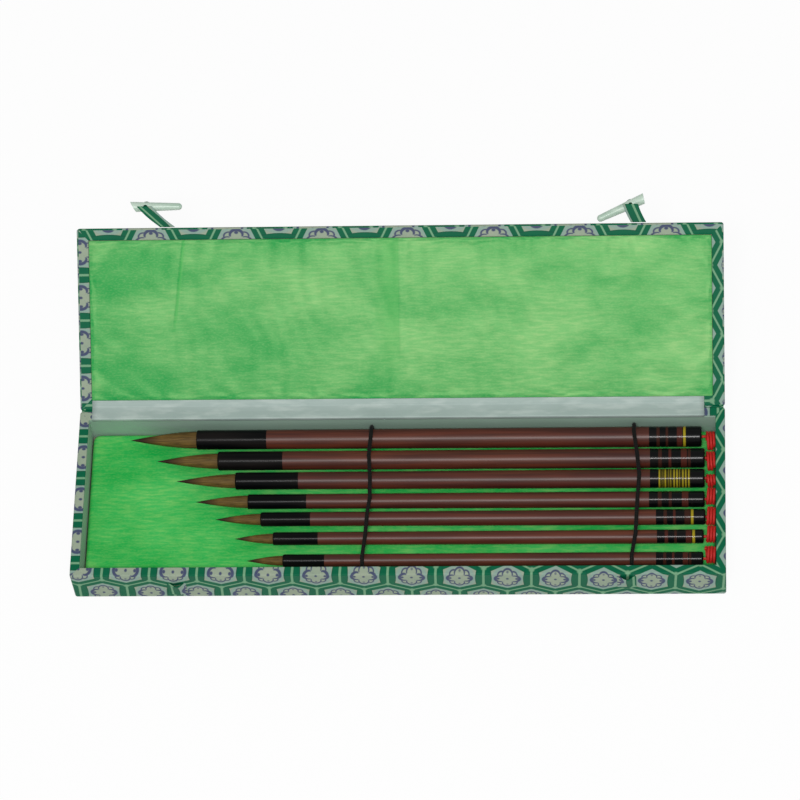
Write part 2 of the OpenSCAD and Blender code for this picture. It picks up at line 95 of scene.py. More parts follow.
# %% Grids of points into meshes
def grid_faces(rings, points, ring_loop=False, point_loop=True):
    """Four corners for each cell of a grid of rings by points, closed on itself where
    asked."""
    i = np.arange(rings if ring_loop else rings - 1)[:, None]
    j = np.arange(points if point_loop else points - 1)[None, :]
    after_i, after_j = (i + 1) % rings, (j + 1) % points
    corners = [i * points + j, i * points + after_j, after_i * points + after_j, after_i * points + j]
    return np.stack(np.broadcast_arrays(*corners), -1).reshape(-1, 4)


def enclosed_volume(points, faces):
    """Sum over all faces of the volume of the wedge from the origin to two triangles."""
    a, b, c, d = (points[faces[:, k]] for k in range(4))
    return (a * np.cross(b, c) + a * np.cross(c, d)).sum() / 6


def make_piece(name, points, faces, caps=()):
    """A smooth mesh object from points (n, 3), four-cornered faces and end faces, turned
    inside out where its volume comes out negative."""
    points = np.asarray(points, float).reshape(-1, 3)
    flip = enclosed_volume(points - points.mean(0), faces) < 0
    polygons = (faces[:, ::-1] if flip else faces).tolist()
    polygons += [list(cap)[::-1] if flip else list(cap) for cap in caps]
    mesh = bpy.data.meshes.new(name)
    mesh.from_pydata(points.tolist(), [], polygons)
    mesh.update()
    mesh.polygons.foreach_set("use_smooth", [True] * len(polygons))
    piece = bpy.data.objects.new(name, mesh)
    bpy.context.scene.collection.objects.link(piece)
    return piece


def end_faces(rings, points):
    """A face over each end of an open grid, wound the same way as the grid's faces."""
    return [range(points - 1, -1, -1), range((rings - 1) * points, rings * points)]


def ended_piece(name, grid):
    """A closed form from a grid (rings, points, 3), with a face over each end."""
    rings, points = grid.shape[:2]
    return make_piece(name, grid, grid_faces(rings, points), end_faces(rings, points))


def loops_of(piece):
    """For each corner of each face: its point and its face."""
    mesh = piece.data
    point = np.zeros(len(mesh.loops), int)
    mesh.loops.foreach_get("vertex_index", point)
    count = np.zeros(len(mesh.polygons), int)
    mesh.polygons.foreach_get("loop_total", count)
    return point, np.repeat(np.arange(len(count)), count)


def set_cloth(piece, values):
    """Writes the cloth coordinates, in metres, of each corner of each face."""
    layer = piece.data.uv_layers.new(name="cloth")
    layer.data.foreach_set("uv", np.asarray(values, float).ravel())


def run_along(line):
    """Distance along a line of points from its first one."""
    return np.concatenate([[0], np.cumsum(np.linalg.norm(np.diff(line, axis=0), axis=1))])


def tube(route, radius, sides, spoke=(0.0, 0.0, 1.0), relief=None):
    """Rings round a route: each ring's first spoke is the last ring's, freed of its part
    along the route. relief(turn, run) scales the radius by the angle round the tube and
    the distance along it."""
    route = np.asarray(route, float)
    ahead = np.gradient(route, axis=0)
    ahead /= np.linalg.norm(ahead, axis=1)[:, None]
    spokes = np.zeros_like(route)
    current = np.array(spoke, float)
    for k, way in enumerate(ahead):
        current = current - way * (current @ way)
        current /= np.linalg.norm(current)
        spokes[k] = current
    side = np.cross(ahead, spokes)
    run = run_along(route)
    turn = np.linspace(0, 2 * np.pi, sides, endpoint=False)
    share = 1.0 if relief is None else relief(turn[None, :], run[:, None])
    reach = radius * share * np.ones((len(route), sides))
    ring = np.cos(turn)[None, :, None] * spokes[:, None, :] + np.sin(turn)[None, :, None] * side[:, None, :]
    return route[:, None, :] + reach[..., None] * ring, run


def tube_piece(name, route, radius, sides, relief=None, spoke=(0.0, 0.0, 1.0)):
    """A closed tube with its distance along and round it as cloth coordinates. Where a
    face crosses the seam, its corners past the seam get a whole turn more."""
    points, run = tube(route, radius, sides, spoke, relief)
    piece = ended_piece(name, points)
    point, face = loops_of(piece)
    around = (point % sides) / sides
    low, high = np.ones(len(piece.data.polygons)), np.zeros(len(piece.data.polygons))
    np.minimum.at(low, face, around)
    np.maximum.at(high, face, around)
    wraps = (high - low)[face] > 0.5
    around = np.where(wraps & (around < 0.5), around + 1, around)
    set_cloth(piece, np.stack([run[point // sides], around * 2 * np.pi * radius], 1))
    return piece


def smooth_route(knots, spacing):
    """Points at even spacing on a Catmull-Rom curve: between two knots, a cubic whose
    slope at each knot is half of the step between the knot's neighbours."""
    knots = np.asarray(knots, float)
    padded = np.vstack([2 * knots[0] - knots[1], knots, 2 * knots[-1] - knots[-2]])
    a, b, c, d = padded[:-3], padded[1:-2], padded[2:-1], padded[3:]
    t = np.linspace(0, 1, 8, endpoint=False)[None, :, None]
    a, b, c, d = (x[:, None, :] for x in (a, b, c, d))
    fine = 0.5 * (2 * b + (c - a) * t + (2 * a - 5 * b + 4 * c - d) * t**2 + (3 * b - a - 3 * c + d) * t**3)
    fine = np.vstack([fine.reshape(-1, 3), knots[-1:]])
    run = run_along(fine)
    even = np.linspace(0, run[-1], max(int(run[-1] / spacing), 8))
    return np.stack([np.interp(even, run, fine[:, k]) for k in range(3)], 1), run[-1]


# %% [markdown]
# ## The brushes' measures
# One row for each brush, from the hinge to the front, in millimetres, as in the source of
# the solids: place in Y, handle radius at the ferrule and at the collar, hair radius,
# lengths of hair, ferrule, handle, collar and cap, and the gap from cap to wall.

# %% Brush table
BRUSHES = np.array([
    [34.6, 4.95, 5.25, 4.4, 34.3, 36.0, 195.4, 18.8, 7.9, 7.1],
    [22.5, 4.80, 4.95, 3.9, 31.3, 33.4, 187.2, 20.8, 6.9, 5.6],
    [11.0, 4.40, 4.80, 3.6, 30.3, 32.3, 178.8, 20.7, 6.9, 5.7],
    [-0.5, 3.75, 4.10, 3.2, 26.8, 30.0, 173.8, 22.1, 6.0, 5.7],
    [-10.5, 3.60, 4.00, 2.9, 23.3, 25.4, 175.0, 19.1, 5.8, 5.4],
    [-21.3, 3.30, 3.55, 2.6, 19.6, 22.9, 171.3, 19.3, 4.2, 6.3],
    [-33.7, 3.20, 3.50, 2.5, 18.4, 21.2, 167.1, 17.9, 5.8, 6.6],
]) * MM
row_y, tip_r, cap_r, hair_r, hair_l, ferrule_l, handle_l, collar_l, cap_l, wall_gap = BRUSHES.T
X_LINED, PAD_TOP = 160.2 * MM, 9.7 * MM
cap_x = X_LINED - wall_gap
cap_start_x = cap_x - cap_l
collar_x = cap_start_x - collar_l
handle_x = collar_x - handle_l
ferrule_x = handle_x - ferrule_l
tip_x = ferrule_x - hair_l
axis_z = PAD_TOP + 0.3 * MM + cap_r
BRUSH_COUNT = len(BRUSHES)
print("longest brush:", round((cap_x - tip_x).max() / MM, 1), "mm")

# %% [markdown]
# ## Red hanging cords
# Each brush hangs from a short silk cord that comes out of a recess in its cap. Here the
# cords are wound up between the caps and the wall. Each cord keeps one route: out of the
# cap, through the coil to its far side, and back in even turns. The cord is a soft bundle
# of floss, so its tube has shallow grooves that run almost straight along it.

# %% Routes and tubes of the hanging cords
COILS = np.array([
    [32.9, 4.5], [21.3, 4.6], [10.0, 2.7], [1.4, 3.9], [-9.8, 4.3], [-20.0, 3.9], [-31.6, 3.9]
]) * MM
CORD_CORE, CORD_PITCH, REST_GAP, RECESS_DEPTH = 1.0 * MM, 1.5 * MM, 0.3 * MM, 2 * MM
SILK_D, SILK_STEP, SILK_SIDES, SILK_TWIST = 1.38 * MM, 0.22 * MM, 24, 26 * MM
LEAST_HALF_Z, COIL_END_BEND = 3.2 * MM, 2.3 * MM
FAR_TURN_X = X_LINED - REST_GAP - CORD_CORE / 2
FIRST_TURN, LEAD_SWEEP = 54, 170
LEAD_RINGS, TURN_RINGS = 18, 36


def coil_half_z(i):
    """Half height of a coil's oval: its ends bend at half_z^2 / half_y."""
    return max(LEAST_HALF_Z, np.sqrt(COIL_END_BEND * COILS[i, 1]))


def coil_point(i, x, angle, centre, share):
    """A point on a coil's oval: its half width by the cosine and its half height by the
    sine of the angle, both times a share."""
    hand = -1 if COILS[i, 0] < row_y[i] else 1
    angle = np.radians(angle)
    return np.stack([
        x + 0 * angle,
        centre[..., 0] + share * COILS[i, 1] * np.cos(angle) * hand,
        centre[..., 1] + share * coil_half_z(i) * np.sin(angle),
    ], -1)


def cord_route(i):
    """Straight out of the cap, a lead that widens into the coil as it runs to the far
    wall, and turns that step back by the pitch."""
    middle = np.array([COILS[i, 0], PAD_TOP + REST_GAP + CORD_CORE / 2 + coil_half_z(i)])
    axis = np.array([row_y[i], axis_z[i]])
    mouth = cap_x[i] + CORD_CORE
    caps = cap_x[max(i - 1, 0):i + 2]
    room = FAR_TURN_X - caps.max() - REST_GAP - CORD_CORE / 2
    turns = np.floor(4 * room / CORD_PITCH + 1e-6) / 4
    straight = np.array([[x, *axis] for x in (cap_x[i] - RECESS_DEPTH, cap_x[i], mouth)])
    back = 1 - np.arange(1, LEAD_RINGS + 1) / LEAD_RINGS
    ease = (1 - back) ** 2 * (1 + 2 * back)
    centre = axis + ease[:, None] * (middle - axis)
    lead_x = FAR_TURN_X - (FAR_TURN_X - mouth) * back**3
    lead = coil_point(i, lead_x, FIRST_TURN - LEAD_SWEEP * back, centre, 1 - back**1.25)
    turned = turns * np.arange(1, int(round(TURN_RINGS * turns)) + 1) / (TURN_RINGS * turns)
    winding = coil_point(i, FAR_TURN_X - CORD_PITCH * turned, FIRST_TURN + 360 * turned, middle, 1)
    way = winding[-1] - winding[-2]
    end = winding[-1] + way / np.linalg.norm(way) * CORD_CORE
    return np.vstack([straight, lead, winding, end[None]])


def floss(turn, run):
    """Radius share of a bundle of threads: a shallow dip between each two of eight
    threads, which wind once round the bundle in SILK_TWIST."""
    return 0.93 + 0.07 * np.abs(np.cos(4 * (turn - 2 * np.pi * run / SILK_TWIST)))


silk_cords = []
for i in range(BRUSH_COUNT):
    route, length = smooth_route(cord_route(i), SILK_STEP)
    name = f"brush_{i + 1}_silk_cord"
    piece = tube_piece(name, route, SILK_D / 2, SILK_SIDES, floss)
    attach(piece, f"brush_{i + 1}")
    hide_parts(f"brush_{i + 1}_cord")
    silk_cords.append(piece)
    print(name, round(length / MM, 1), "mm")

# %% [markdown]
# ## Elastic cords
# Two braided elastics come up out of the satin, hold every handle down and go back in.
# The route touches each handle's circle and runs straight from one circle to the next.

# %% Elastic cords over the handles
ELASTIC_D, ELASTIC_GAP, CARD_TOP = 2 * MM, 0.2 * MM, 5 * MM
ELASTIC_X = {
    "elastic_left": np.array([-15.2, -16, -15.1, -14.9, -16.1, -16.7, -17.9]) * MM,
    "elastic_right": np.array([118.8, 120.4, 121.5, 120.7, 120.2, 119.7, 117.8]) * MM,
}
ARC_STEP, BRAID_STEP, BRAID_SIDES, BRAID_WIND = 7.5, 0.3 * MM, 16, 2.4 * MM


def elastic_route(crossing):
    """For each handle, an arc between the tangents it shares with its neighbours: a
    shared tangent stands off the line of centres by the arc cosine of the difference
    of the radii over the distance."""
    share = (crossing - handle_x) / (collar_x - handle_x)
    radius = tip_r + (cap_r - tip_r) * share + ELASTIC_GAP + ELASTIC_D / 2
    dy, dz = np.diff(row_y), np.diff(axis_z)
    slope = np.degrees(np.arctan2(dz, dy)) % 360
    lean = np.degrees(np.arccos((radius[:-1] - radius[1:]) / np.hypot(dy, dz)))
    first = np.concatenate([[0], slope - lean])
    last = np.concatenate([slope - lean, [180]])
    points = []
    for i in range(BRUSH_COUNT):
        count = max(int(np.ceil((last[i] - first[i]) / ARC_STEP)), 1)
        angle = np.radians(np.linspace(first[i], last[i], count + 1))
        y, z = row_y[i] + radius[i] * np.cos(angle), axis_z[i] + radius[i] * np.sin(angle)
        points.append(np.stack([crossing[i] + 0 * angle, y, z], 1))
    rise = np.array([0, 0.25, 0.5, 0.75])[:, None]
    ends = [
        np.array([[x, y, CARD_TOP]]) + rise * np.array([[0, 0, z - CARD_TOP]])
        for x, y, z in (
            (crossing[0], row_y[0] + radius[0], axis_z[0]),
            (crossing[-1], row_y[-1] - radius[-1], axis_z[-1]),
        )
    ]
    return np.vstack([ends[0], *points, ends[1][::-1]])


def braid(turn, run):
    """Radius share of a braid: two sets of strands cross like the product of two waves
    that wind opposite ways."""
    wind = 2 * np.pi * run / BRAID_WIND
    return 0.97 + 0.05 * np.sin(4 * turn + wind) * np.sin(4 * turn - wind)


elastics = []
for name, crossing in ELASTIC_X.items():
    route, length = smooth_route(elastic_route(crossing), BRAID_STEP)
    piece = tube_piece(name + "_braid", route, ELASTIC_D / 2, BRAID_SIDES, braid, (1.0, 0.0, 0.0))
    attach(piece, "tray")
    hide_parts(name)
    elastics.append(piece)
    print(name, round(length / MM, 1), "mm")

# %% [markdown]
# ## Cloth over the boards
# The brocade is glued over the boards, so it follows them with soft edges. Its section, a
# thin closed strip, is carried round the box. The path is a rounded rectangle that each
# point of the section shrinks by its own inset. The pattern is woven flat and then
# wrapped, so each side gets flat cloth coordinates: how far along the side, and how far
# over the edges.

# %% Frames: a section carried round a rounded rectangle
RIGHT, REAR, LEFT, FRONT = range(4)
ARC_POINTS = 6


def frame_weights(half_x, half_y, spacing):
    """Each path point as a mix of the 24 points of the four corner arcs, and the side
    that each stretch belongs to."""
    rows, sides = [], []
    eye = np.eye(4 * ARC_POINTS)
    for q in range(4):
        corner = q * ARC_POINTS
        rows += [eye[corner + k] for k in range(ARC_POINTS)]
        sides += [q if k < (ARC_POINTS - 1) / 2 else (q + 1) % 4 for k in range(ARC_POINTS - 1)]
        length = 2 * (half_x if q % 2 == 0 else half_y)
        count = max(int(length / spacing), 2)
        share = np.arange(1, count) / count
        a, b = eye[corner + ARC_POINTS - 1], eye[(corner + ARC_POINTS) % (4 * ARC_POINTS)]
        rows += [(1 - s) * a + s * b for s in share]
        sides += [(q + 1) % 4] * count
    return np.array(rows), np.array(sides)


def frame_ring(half_x, half_y, radius, inset):
    """The 24 points of the four corner arcs, each arc's centre moved in with the sides."""
    corner = max(radius - inset, 0.02 * MM)
    angle = np.radians(90 * np.arange(4)[:, None] + np.linspace(0, 90, ARC_POINTS)[None, :])
    sign_x = np.array([1, -1, -1, 1])[:, None]
    sign_y = np.array([1, 1, -1, -1])[:, None]
    x = sign_x * (half_x - inset - corner) + corner * np.cos(angle)
    y = sign_y * (half_y - inset - corner) + corner * np.sin(angle)
    return np.stack([x.ravel(), y.ravel()], 1)


def carry_round(half_x, half_y, radius, section, spacing):
    """Points (section, path, 3) of a section of (inset, height) carried round."""
    weights, sides = frame_weights(half_x, half_y, spacing)
    rings = [
        np.column_stack([weights @ frame_ring(half_x, half_y, radius, inset), np.full(len(weights), z)])
        for inset, z in section
    ]
    return np.array(rings), sides


def arc(centre_inset, centre_z, radius, start, stop, steps=5):
    """Section points on a quarter arc: inset grows against the cosine, height with the
    sine."""
    angle = np.radians(np.linspace(start, stop, steps))
    return [
        (centre_inset - radius * c, centre_z + radius * s) for c, s in zip(np.cos(angle), np.sin(angle))
    ]


# %% Tray brocade
HALF_X, HALF_Y, RIM_Z = 165 * MM, 47 * MM, 24 * MM
EDGE_ROUND, CORNER_ROUND, CLOTH = 0.8 * MM, 1.3 * MM, 0.5 * MM
WALL = 4.8 * MM


def tray_section():
    """Up the wall, over the rim and down to the lining, then back inside the cloth."""
    face = [(0, z) for z in np.linspace(1.0, 23.0, 12) * MM]
    rim = [(x, RIM_Z) for x in np.linspace(1.0, 4.3, 5) * MM]
    outside = (
        [(1.6 * MM, 0.02 * MM)]
        + arc(0.8 * MM, 0.82 * MM, EDGE_ROUND, -90, 0)
        + face
        + arc(EDGE_ROUND, RIM_Z - EDGE_ROUND, EDGE_ROUND, 0, 90)
        + rim
        + [
            (4.6 * MM, 23.96 * MM), (4.78 * MM, 23.82 * MM), (WALL + 0.02 * MM, 23.6 * MM),
            (WALL + 0.02 * MM, 23.3 * MM)
        ]
    )
    inside = [
        (4.4 * MM, 23.3 * MM), (4.0 * MM, 23.5 * MM), (CLOTH, 23.5 * MM), (CLOTH, 1 * MM),
        (1.6 * MM, 0.5 * MM)
    ]
    return np.array(outside), np.array(inside)


outside, inside = tray_section()
section = np.vstack([outside, inside])
rings, sides = carry_round(HALF_X, HALF_Y, CORNER_ROUND, section, 6 * MM)
run = np.concatenate([run_along(outside), np.zeros(len(inside))])
edge_index = int(np.argmax(outside[:, 1] > RIM_Z - 1e-6))
flat_height = run - run[edge_index] + RIM_Z
tray_brocade = make_piece("tray_brocade", rings, grid_faces(*rings.shape[:2], ring_loop=True))

CLOTH_TILT = np.array([0.0, 0.0, 0.0, 0.042])
CLOTH_ALONG = np.array([13.4, 5.0, 20.6, 136.6]) * MM
CLOTH_UP = np.array([16.0, 26.4, 26.4, 26.4]) * MM


def tray_cloth(piece, ring_count, path_sides, heights):
    """Cloth coordinates of the tray: along each side, and up the wall and over the rim.
    Each side has its own start in the pattern, and the front's cloth is slightly
    turned."""
    point, face = loops_of(piece)
    where = np.zeros(3 * len(piece.data.vertices))
    piece.data.vertices.foreach_get("co", where)
    where = where.reshape(-1, 3)[point]
    side = np.tile(path_sides, ring_count)[: len(piece.data.polygons)][face]
    along = np.where((side == FRONT) | (side == REAR), where[:, 0], where[:, 1])
    along = np.where((side == REAR) | (side == LEFT), -along, along)
    up = heights[point // len(path_sides)]
    p, q, tilt = along + CLOTH_ALONG[side], up - CLOTH_UP[side], CLOTH_TILT[side]
    return np.stack([p - tilt * q, q + tilt * p], 1)


set_cloth(tray_brocade, tray_cloth(tray_brocade, len(section), sides, flat_height))
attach(tray_brocade, "tray")
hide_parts("tray_cover")

# %% [markdown]
# The lining is the same idea with a section that only goes down the inner faces, and the
# underside is a plain sheet with its edges tucked in.

# %% Wall lining and underside
LINING_LEVELS, LINING_BACK = 14, 4.5 * MM
down = [(WALL, z) for z in np.linspace(23.45, 3.5, LINING_LEVELS) * MM]
lining_back = [(LINING_BACK, 3.5 * MM), (LINING_BACK, 23.5 * MM), (4.7 * MM, 23.5 * MM)]
lining_section = np.array(down + lining_back)
rings, sides = carry_round(HALF_X, HALF_Y, CORNER_ROUND, lining_section, 5 * MM)
drift = np.sin(rings[..., 0] / (7 * MM) + rings[..., 2] / (3 * MM))
sway = 0.06 * MM * drift * np.sin(rings[..., 2] / (5 * MM))
face = rings[:LINING_LEVELS, :, 1]
rings[:LINING_LEVELS, :, 1] -= sway[:LINING_LEVELS] * np.sign(face) * (np.abs(face) > 42 * MM)
wall_paper = make_piece("wall_paper", rings, grid_faces(*rings.shape[:2], ring_loop=True))
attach(wall_paper, "tray")
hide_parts("wall_lining")

sheet_section = [(0.9 * MM, 0.5 * MM), (0.9 * MM, 0.1 * MM), (1.0 * MM, 0.0), (6 * MM, 0.0), (20 * MM, 0.0)]
rings, sides = carry_round(HALF_X, HALF_Y, CORNER_ROUND, sheet_section, 8 * MM)
tray_underside = ended_piece("tray_underside", rings)
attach(tray_underside, "tray")
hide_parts("underside_sheet")

# %% [markdown]
# ## The lid's brocade
# It is made in the closed place, where its faces lie square to the axes, and then turned
# open about the hinge with the same angle as the solids.

# %% Lid brocade
LID_OPEN = np.radians(-146)
HINGE = np.array([0, HALF_Y, RIM_Z])
LID_HALF_Y, LID_LOW, LID_HIGH, LID_BOARD_LOW = 46.7 * MM, 24.9 * MM, 28.9 * MM, 25.4 * MM
BORDER_STEPS = 6
BORDER_STRETCH = 24.07 / 23.3
BORDER_P = np.array([-60.5, 9, -58.4, -98.5]) * MM
BORDER_Q = np.array([-150.3, -150.6, 163.5, 148.7]) * MM


def opened(points):
    """Turns points about the hinge line from the closed lid to the open one."""
    points = np.asarray(points, float)
    dy, dz = points[..., 1] - HINGE[1], points[..., 2] - HINGE[2]
    c, s = np.cos(LID_OPEN), np.sin(LID_OPEN)
    return np.stack([points[..., 0], HINGE[1] + dy * c - dz * s, HINGE[2] + dy * s + dz * c], -1)


border = [(x, LID_LOW) for x in np.linspace(5.7, 1.0, BORDER_STEPS) * MM]
lid_outside = np.array(
    [(6.0 * MM, LID_BOARD_LOW), (5.95 * MM, LID_LOW + 0.15 * MM)]
    + border
    + arc(EDGE_ROUND, LID_LOW + EDGE_ROUND, EDGE_ROUND, -90, 0)
    + [(0, z) for z in np.linspace(26.0, 27.8, 3) * MM]
    + arc(EDGE_ROUND, LID_HIGH - EDGE_ROUND, EDGE_ROUND, 0, 90)
    + [(x, LID_HIGH) for x in (1.4 * MM, 4 * MM, 9 * MM)]
)
lid_inside = np.array([(9 * MM, 28.4 * MM), (CLOTH, 28.4 * MM), (CLOTH, LID_BOARD_LOW)])
lid_section = np.vstack([lid_outside, lid_inside])
rings, sides = carry_round(HALF_X, LID_HALF_Y, CORNER_ROUND, lid_section, 6 * MM)
path_count = rings.shape[1]
last_outer = len(lid_outside) - 1
outer_cap = range(last_outer * path_count, (last_outer + 1) * path_count)
lid_faces = grid_faces(*rings.shape[:2], ring_loop=True)
keep = lid_faces[:, 0] // path_count != last_outer
inner_cap = range((last_outer + 2) * path_count - 1, (last_outer + 1) * path_count - 1, -1)
lid_brocade = make_piece("lid_brocade", opened(rings), lid_faces[keep], [outer_cap, inner_cap])


def lid_cloth(piece, closed, path_sides, count):
    """Cloth coordinates of the lid. On the border each side has its own flat piece of
    the pattern, turned in over the edge; the outer face and the edges are one piece."""
    point, face = loops_of(piece)
    x, y, z = closed.reshape(-1, 3)[point].T
    first_ring = np.full(len(piece.data.polygons), len(closed))
    np.minimum.at(first_ring, face, point // count)
    sides_of_face = np.full(len(piece.data.polygons), REAR)
    sides_of_face[: keep.sum()] = np.tile(path_sides, len(closed))[keep]
    side = sides_of_face[face]
    s = HALF_Y - y
    is_border = first_ring[face] < BORDER_STEPS + 2
    at_end = (side == RIGHT) | (side == LEFT)
    border_p = (s + BORDER_P[side]) * np.where(at_end, BORDER_STRETCH, 1)
    border_q = x + BORDER_Q[side]
    over = LID_HIGH - np.minimum(z, LID_HIGH)
    outer_p = s + np.where(side == FRONT, over, np.where(side == REAR, -over, 0))
    outer_q = x + np.where(side == RIGHT, over, np.where(side == LEFT, -over, 0))
    return np.where(is_border, [border_p, border_q], [outer_p, outer_q]).T


set_cloth(lid_brocade, lid_cloth(lid_brocade, rings, sides, path_count))
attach(lid_brocade, "lid")
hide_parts("lid_cover")

# %% [markdown]
# ## Hinge
# The hinge is paper and cloth, not metal: a strip of silver paper runs from the tray's
# inner wall over its rim and onto the lid, and the brocade outside runs from the rear
# wall onto the lid's edge. Both bend with the lid; each is made here as one strip, in
# the lid's open place.

# %% Silver hinge paper
def lid_point(s, lift):
    """Y and Z of a place on the opened lid: s from the hinge along the lid's underside,
    lift above it, on the satin's side."""
    return opened(np.array([0, HALF_Y - s, LID_LOW - lift]))[1:]


def strip(name, line, x_low, x_high, thickness, spacing=3 * MM, sway=0.0):
    """A thin closed strip along X: its section is a line of (y, z) points and the same
    line moved back by the thickness."""
    line = np.asarray(line, float)
    fine, _ = smooth_route(np.column_stack([0 * line[:, 0], line]), 0.35 * MM)
    line = fine[:, 1:]
    ahead = np.gradient(line, axis=0)
    normal = np.stack([-ahead[:, 1], ahead[:, 0]], 1) / np.linalg.norm(ahead, axis=1)[:, None]
    xs = np.linspace(x_low, x_high, int((x_high - x_low) / spacing))
    ripple = sway * np.sin(xs / (11 * MM)) * np.sin(xs / (4.3 * MM))
    section = np.vstack([line, line[::-1] - thickness * normal[::-1]])
    lift = np.vstack([normal, normal[::-1]])
    points = np.stack([
        np.broadcast_to(xs[:, None], (len(xs), len(section))),
        section[None, :, 0] + ripple[:, None] * lift[None, :, 0],
        section[None, :, 1] + ripple[:, None] * lift[None, :, 1],
    ], -1)
    piece = ended_piece(name, points)
    point, _ = loops_of(piece)
    run = run_along(section)
    set_cloth(piece, np.stack([points.reshape(-1, 3)[point, 0], run[point % len(run)]], 1))
    return piece


TRAY_PART = np.array([
    [42.08, 22.2], [42.07, 23.3], [42.12, 24.0], [42.5, 24.3], [44, 24.33], [45.6, 24.33], [46.6, 24.34]
]) * MM
LID_PART = np.array([[2.0, 0.34], [3.2, 0.33], [5.5, 0.33]]) * MM
paper_line = [*TRAY_PART, *(lid_point(s, lift) for s, lift in LID_PART)]
hinge_paper = strip("hinge_paper", paper_line, -158.7 * MM, 154.5 * MM, 0.12 * MM, sway=0.05 * MM)
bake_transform(hinge_paper)
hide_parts("hinge_paper_tray", "hinge_paper_lid")

# %% Brocade spine behind the hinge
WALL_PART = np.array([[47.06, 19], [47.08, 21], [47.12, 22.4], [47.4, 23.0], [47.95, 22.95]]) * MM
EDGE_LIFT = np.array([0.22, 0.16]) * MM
lid_edge = [opened(np.array([0, 46.65, z]) * MM)[1:] + EDGE_LIFT for z in (26.4, 27.6)]
spine_line = [*WALL_PART, *lid_edge][::-1]
hinge_spine = strip("hinge_spine", spine_line, -164.3 * MM, 164.3 * MM, 0.3 * MM, spacing=5 * MM)
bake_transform(hinge_spine)

# %% [markdown]
# ## Satin pads
# A pad is wadding under satin, drawn down along its edges. It starts as a closed form
# with rounded sides and a crown. The wadding holds the satin softly, like springs, and less
# near the edges. In a short cloth simulation the satin, which is cut slightly too large,
# gathers into small folds, and only these are added to the form.

# %% Pad form and cloth simulation
PAD_SCALE, PAD_FRAMES = 5, 14
CALM_SHARE, GATHER_REACH = 0.35, 7 * MM


def spread(half, fine=(0, 0.25, 0.6, 1.1, 1.8, 2.8, 4.2), step=2.6):
    """Places from -half to half, close together at the edges and even in between."""
    edge = np.array(fine) * MM
    inner = half - edge[-1]
    middle = np.linspace(-inner, inner, int(2 * inner / (step * MM)) + 1)
    return np.concatenate([-half + edge[:-1], middle, (half - edge[:-1])[::-1]])


def pad_form(half_x, half_y, height, crown, corner, gather):
    """Top height at a distance e from the edge: a quarter round of the side, and a crown
    that rises as a parabola. Two sines bent by each other make the wadding uneven, and
    waves along the edges, which fade inwards as exp(-e / 5 mm), start the gathers. The
    square's corners are drawn onto arcs by scaling each corner cell's longer side to its
    diagonal."""
    x, y = np.meshgrid(spread(half_x), spread(half_y), indexing="ij")
    edge = np.minimum(half_x - np.abs(x), half_y - np.abs(y))
    side = height - crown
    round_in = 2.2 * MM
    near = np.clip(edge / round_in, 0, 1)
    rise = np.clip(edge / (26 * MM), 0, 1)
    top = side * (0.25 + 0.75 * np.sqrt(1 - (1 - near) ** 2)) + crown * (1 - (1 - rise) ** 2)
    bent_x, bent_y = 1.3 * np.sin(y / (9 * MM)), 2 * np.sin(x / (31 * MM))
    wave = np.sin(x / (13 * MM) + bent_x) * np.sin(y / (8 * MM) + bent_y)
    top += 0.1 * MM * wave * rise
    along_x = np.sin(x / (1.7 * MM) + 2.6 * np.sin(x / (9 * MM)) + 2 * np.sign(y))
    along_y = np.sin(y / (1.8 * MM) + 2.2 * np.sin(y / (7 * MM)) + np.sign(x))
    far_x, far_y = (half_x - np.abs(x)) / (5 * MM), (half_y - np.abs(y)) / (5 * MM)
    strong = 0.6 + 0.4 * np.sin(x / (23 * MM) + y / (11 * MM))
    top += gather * near * strong * (np.exp(-far_y) * along_x + np.exp(-far_x) * along_y)
    dx, dy = np.abs(x) - (half_x - corner), np.abs(y) - (half_y - corner)
    beyond = (dx > 0) & (dy > 0)
    longest = np.maximum(dx, dy)
    shrink = np.where(beyond, longest / np.maximum(np.hypot(dx, dy), 1e-9), 1)
    x = np.where(beyond, np.sign(x) * (half_x - corner + dx * shrink), x)
    y = np.where(beyond, np.sign(y) * (half_y - corner + dy * shrink), y)
    return x, y, top


def pad_mesh(x, y, top):
    """A closed form: the top grid, and below it a flat bottom grid that shares no points
    but is joined to it round the edge."""
    n, m = x.shape
    upper = np.stack([x, y, top], -1).reshape(-1, 3)
    lower = np.stack([x * 0.998, y * 0.994, 0 * top], -1).reshape(-1, 3)
    faces = grid_faces(n, m, point_loop=False)
    index = np.arange(n * m).reshape(n, m)
    rim = np.concatenate([index[:-1, 0], index[-1, :-1], index[:0:-1, -1], index[0, :0:-1]])
    after = np.roll(rim, -1)
    wall = np.stack([rim, after, after + n * m, rim + n * m], 1)
    return np.vstack([upper, lower]), np.vstack([faces, faces[:, ::-1] + n * m, wall]), n * m


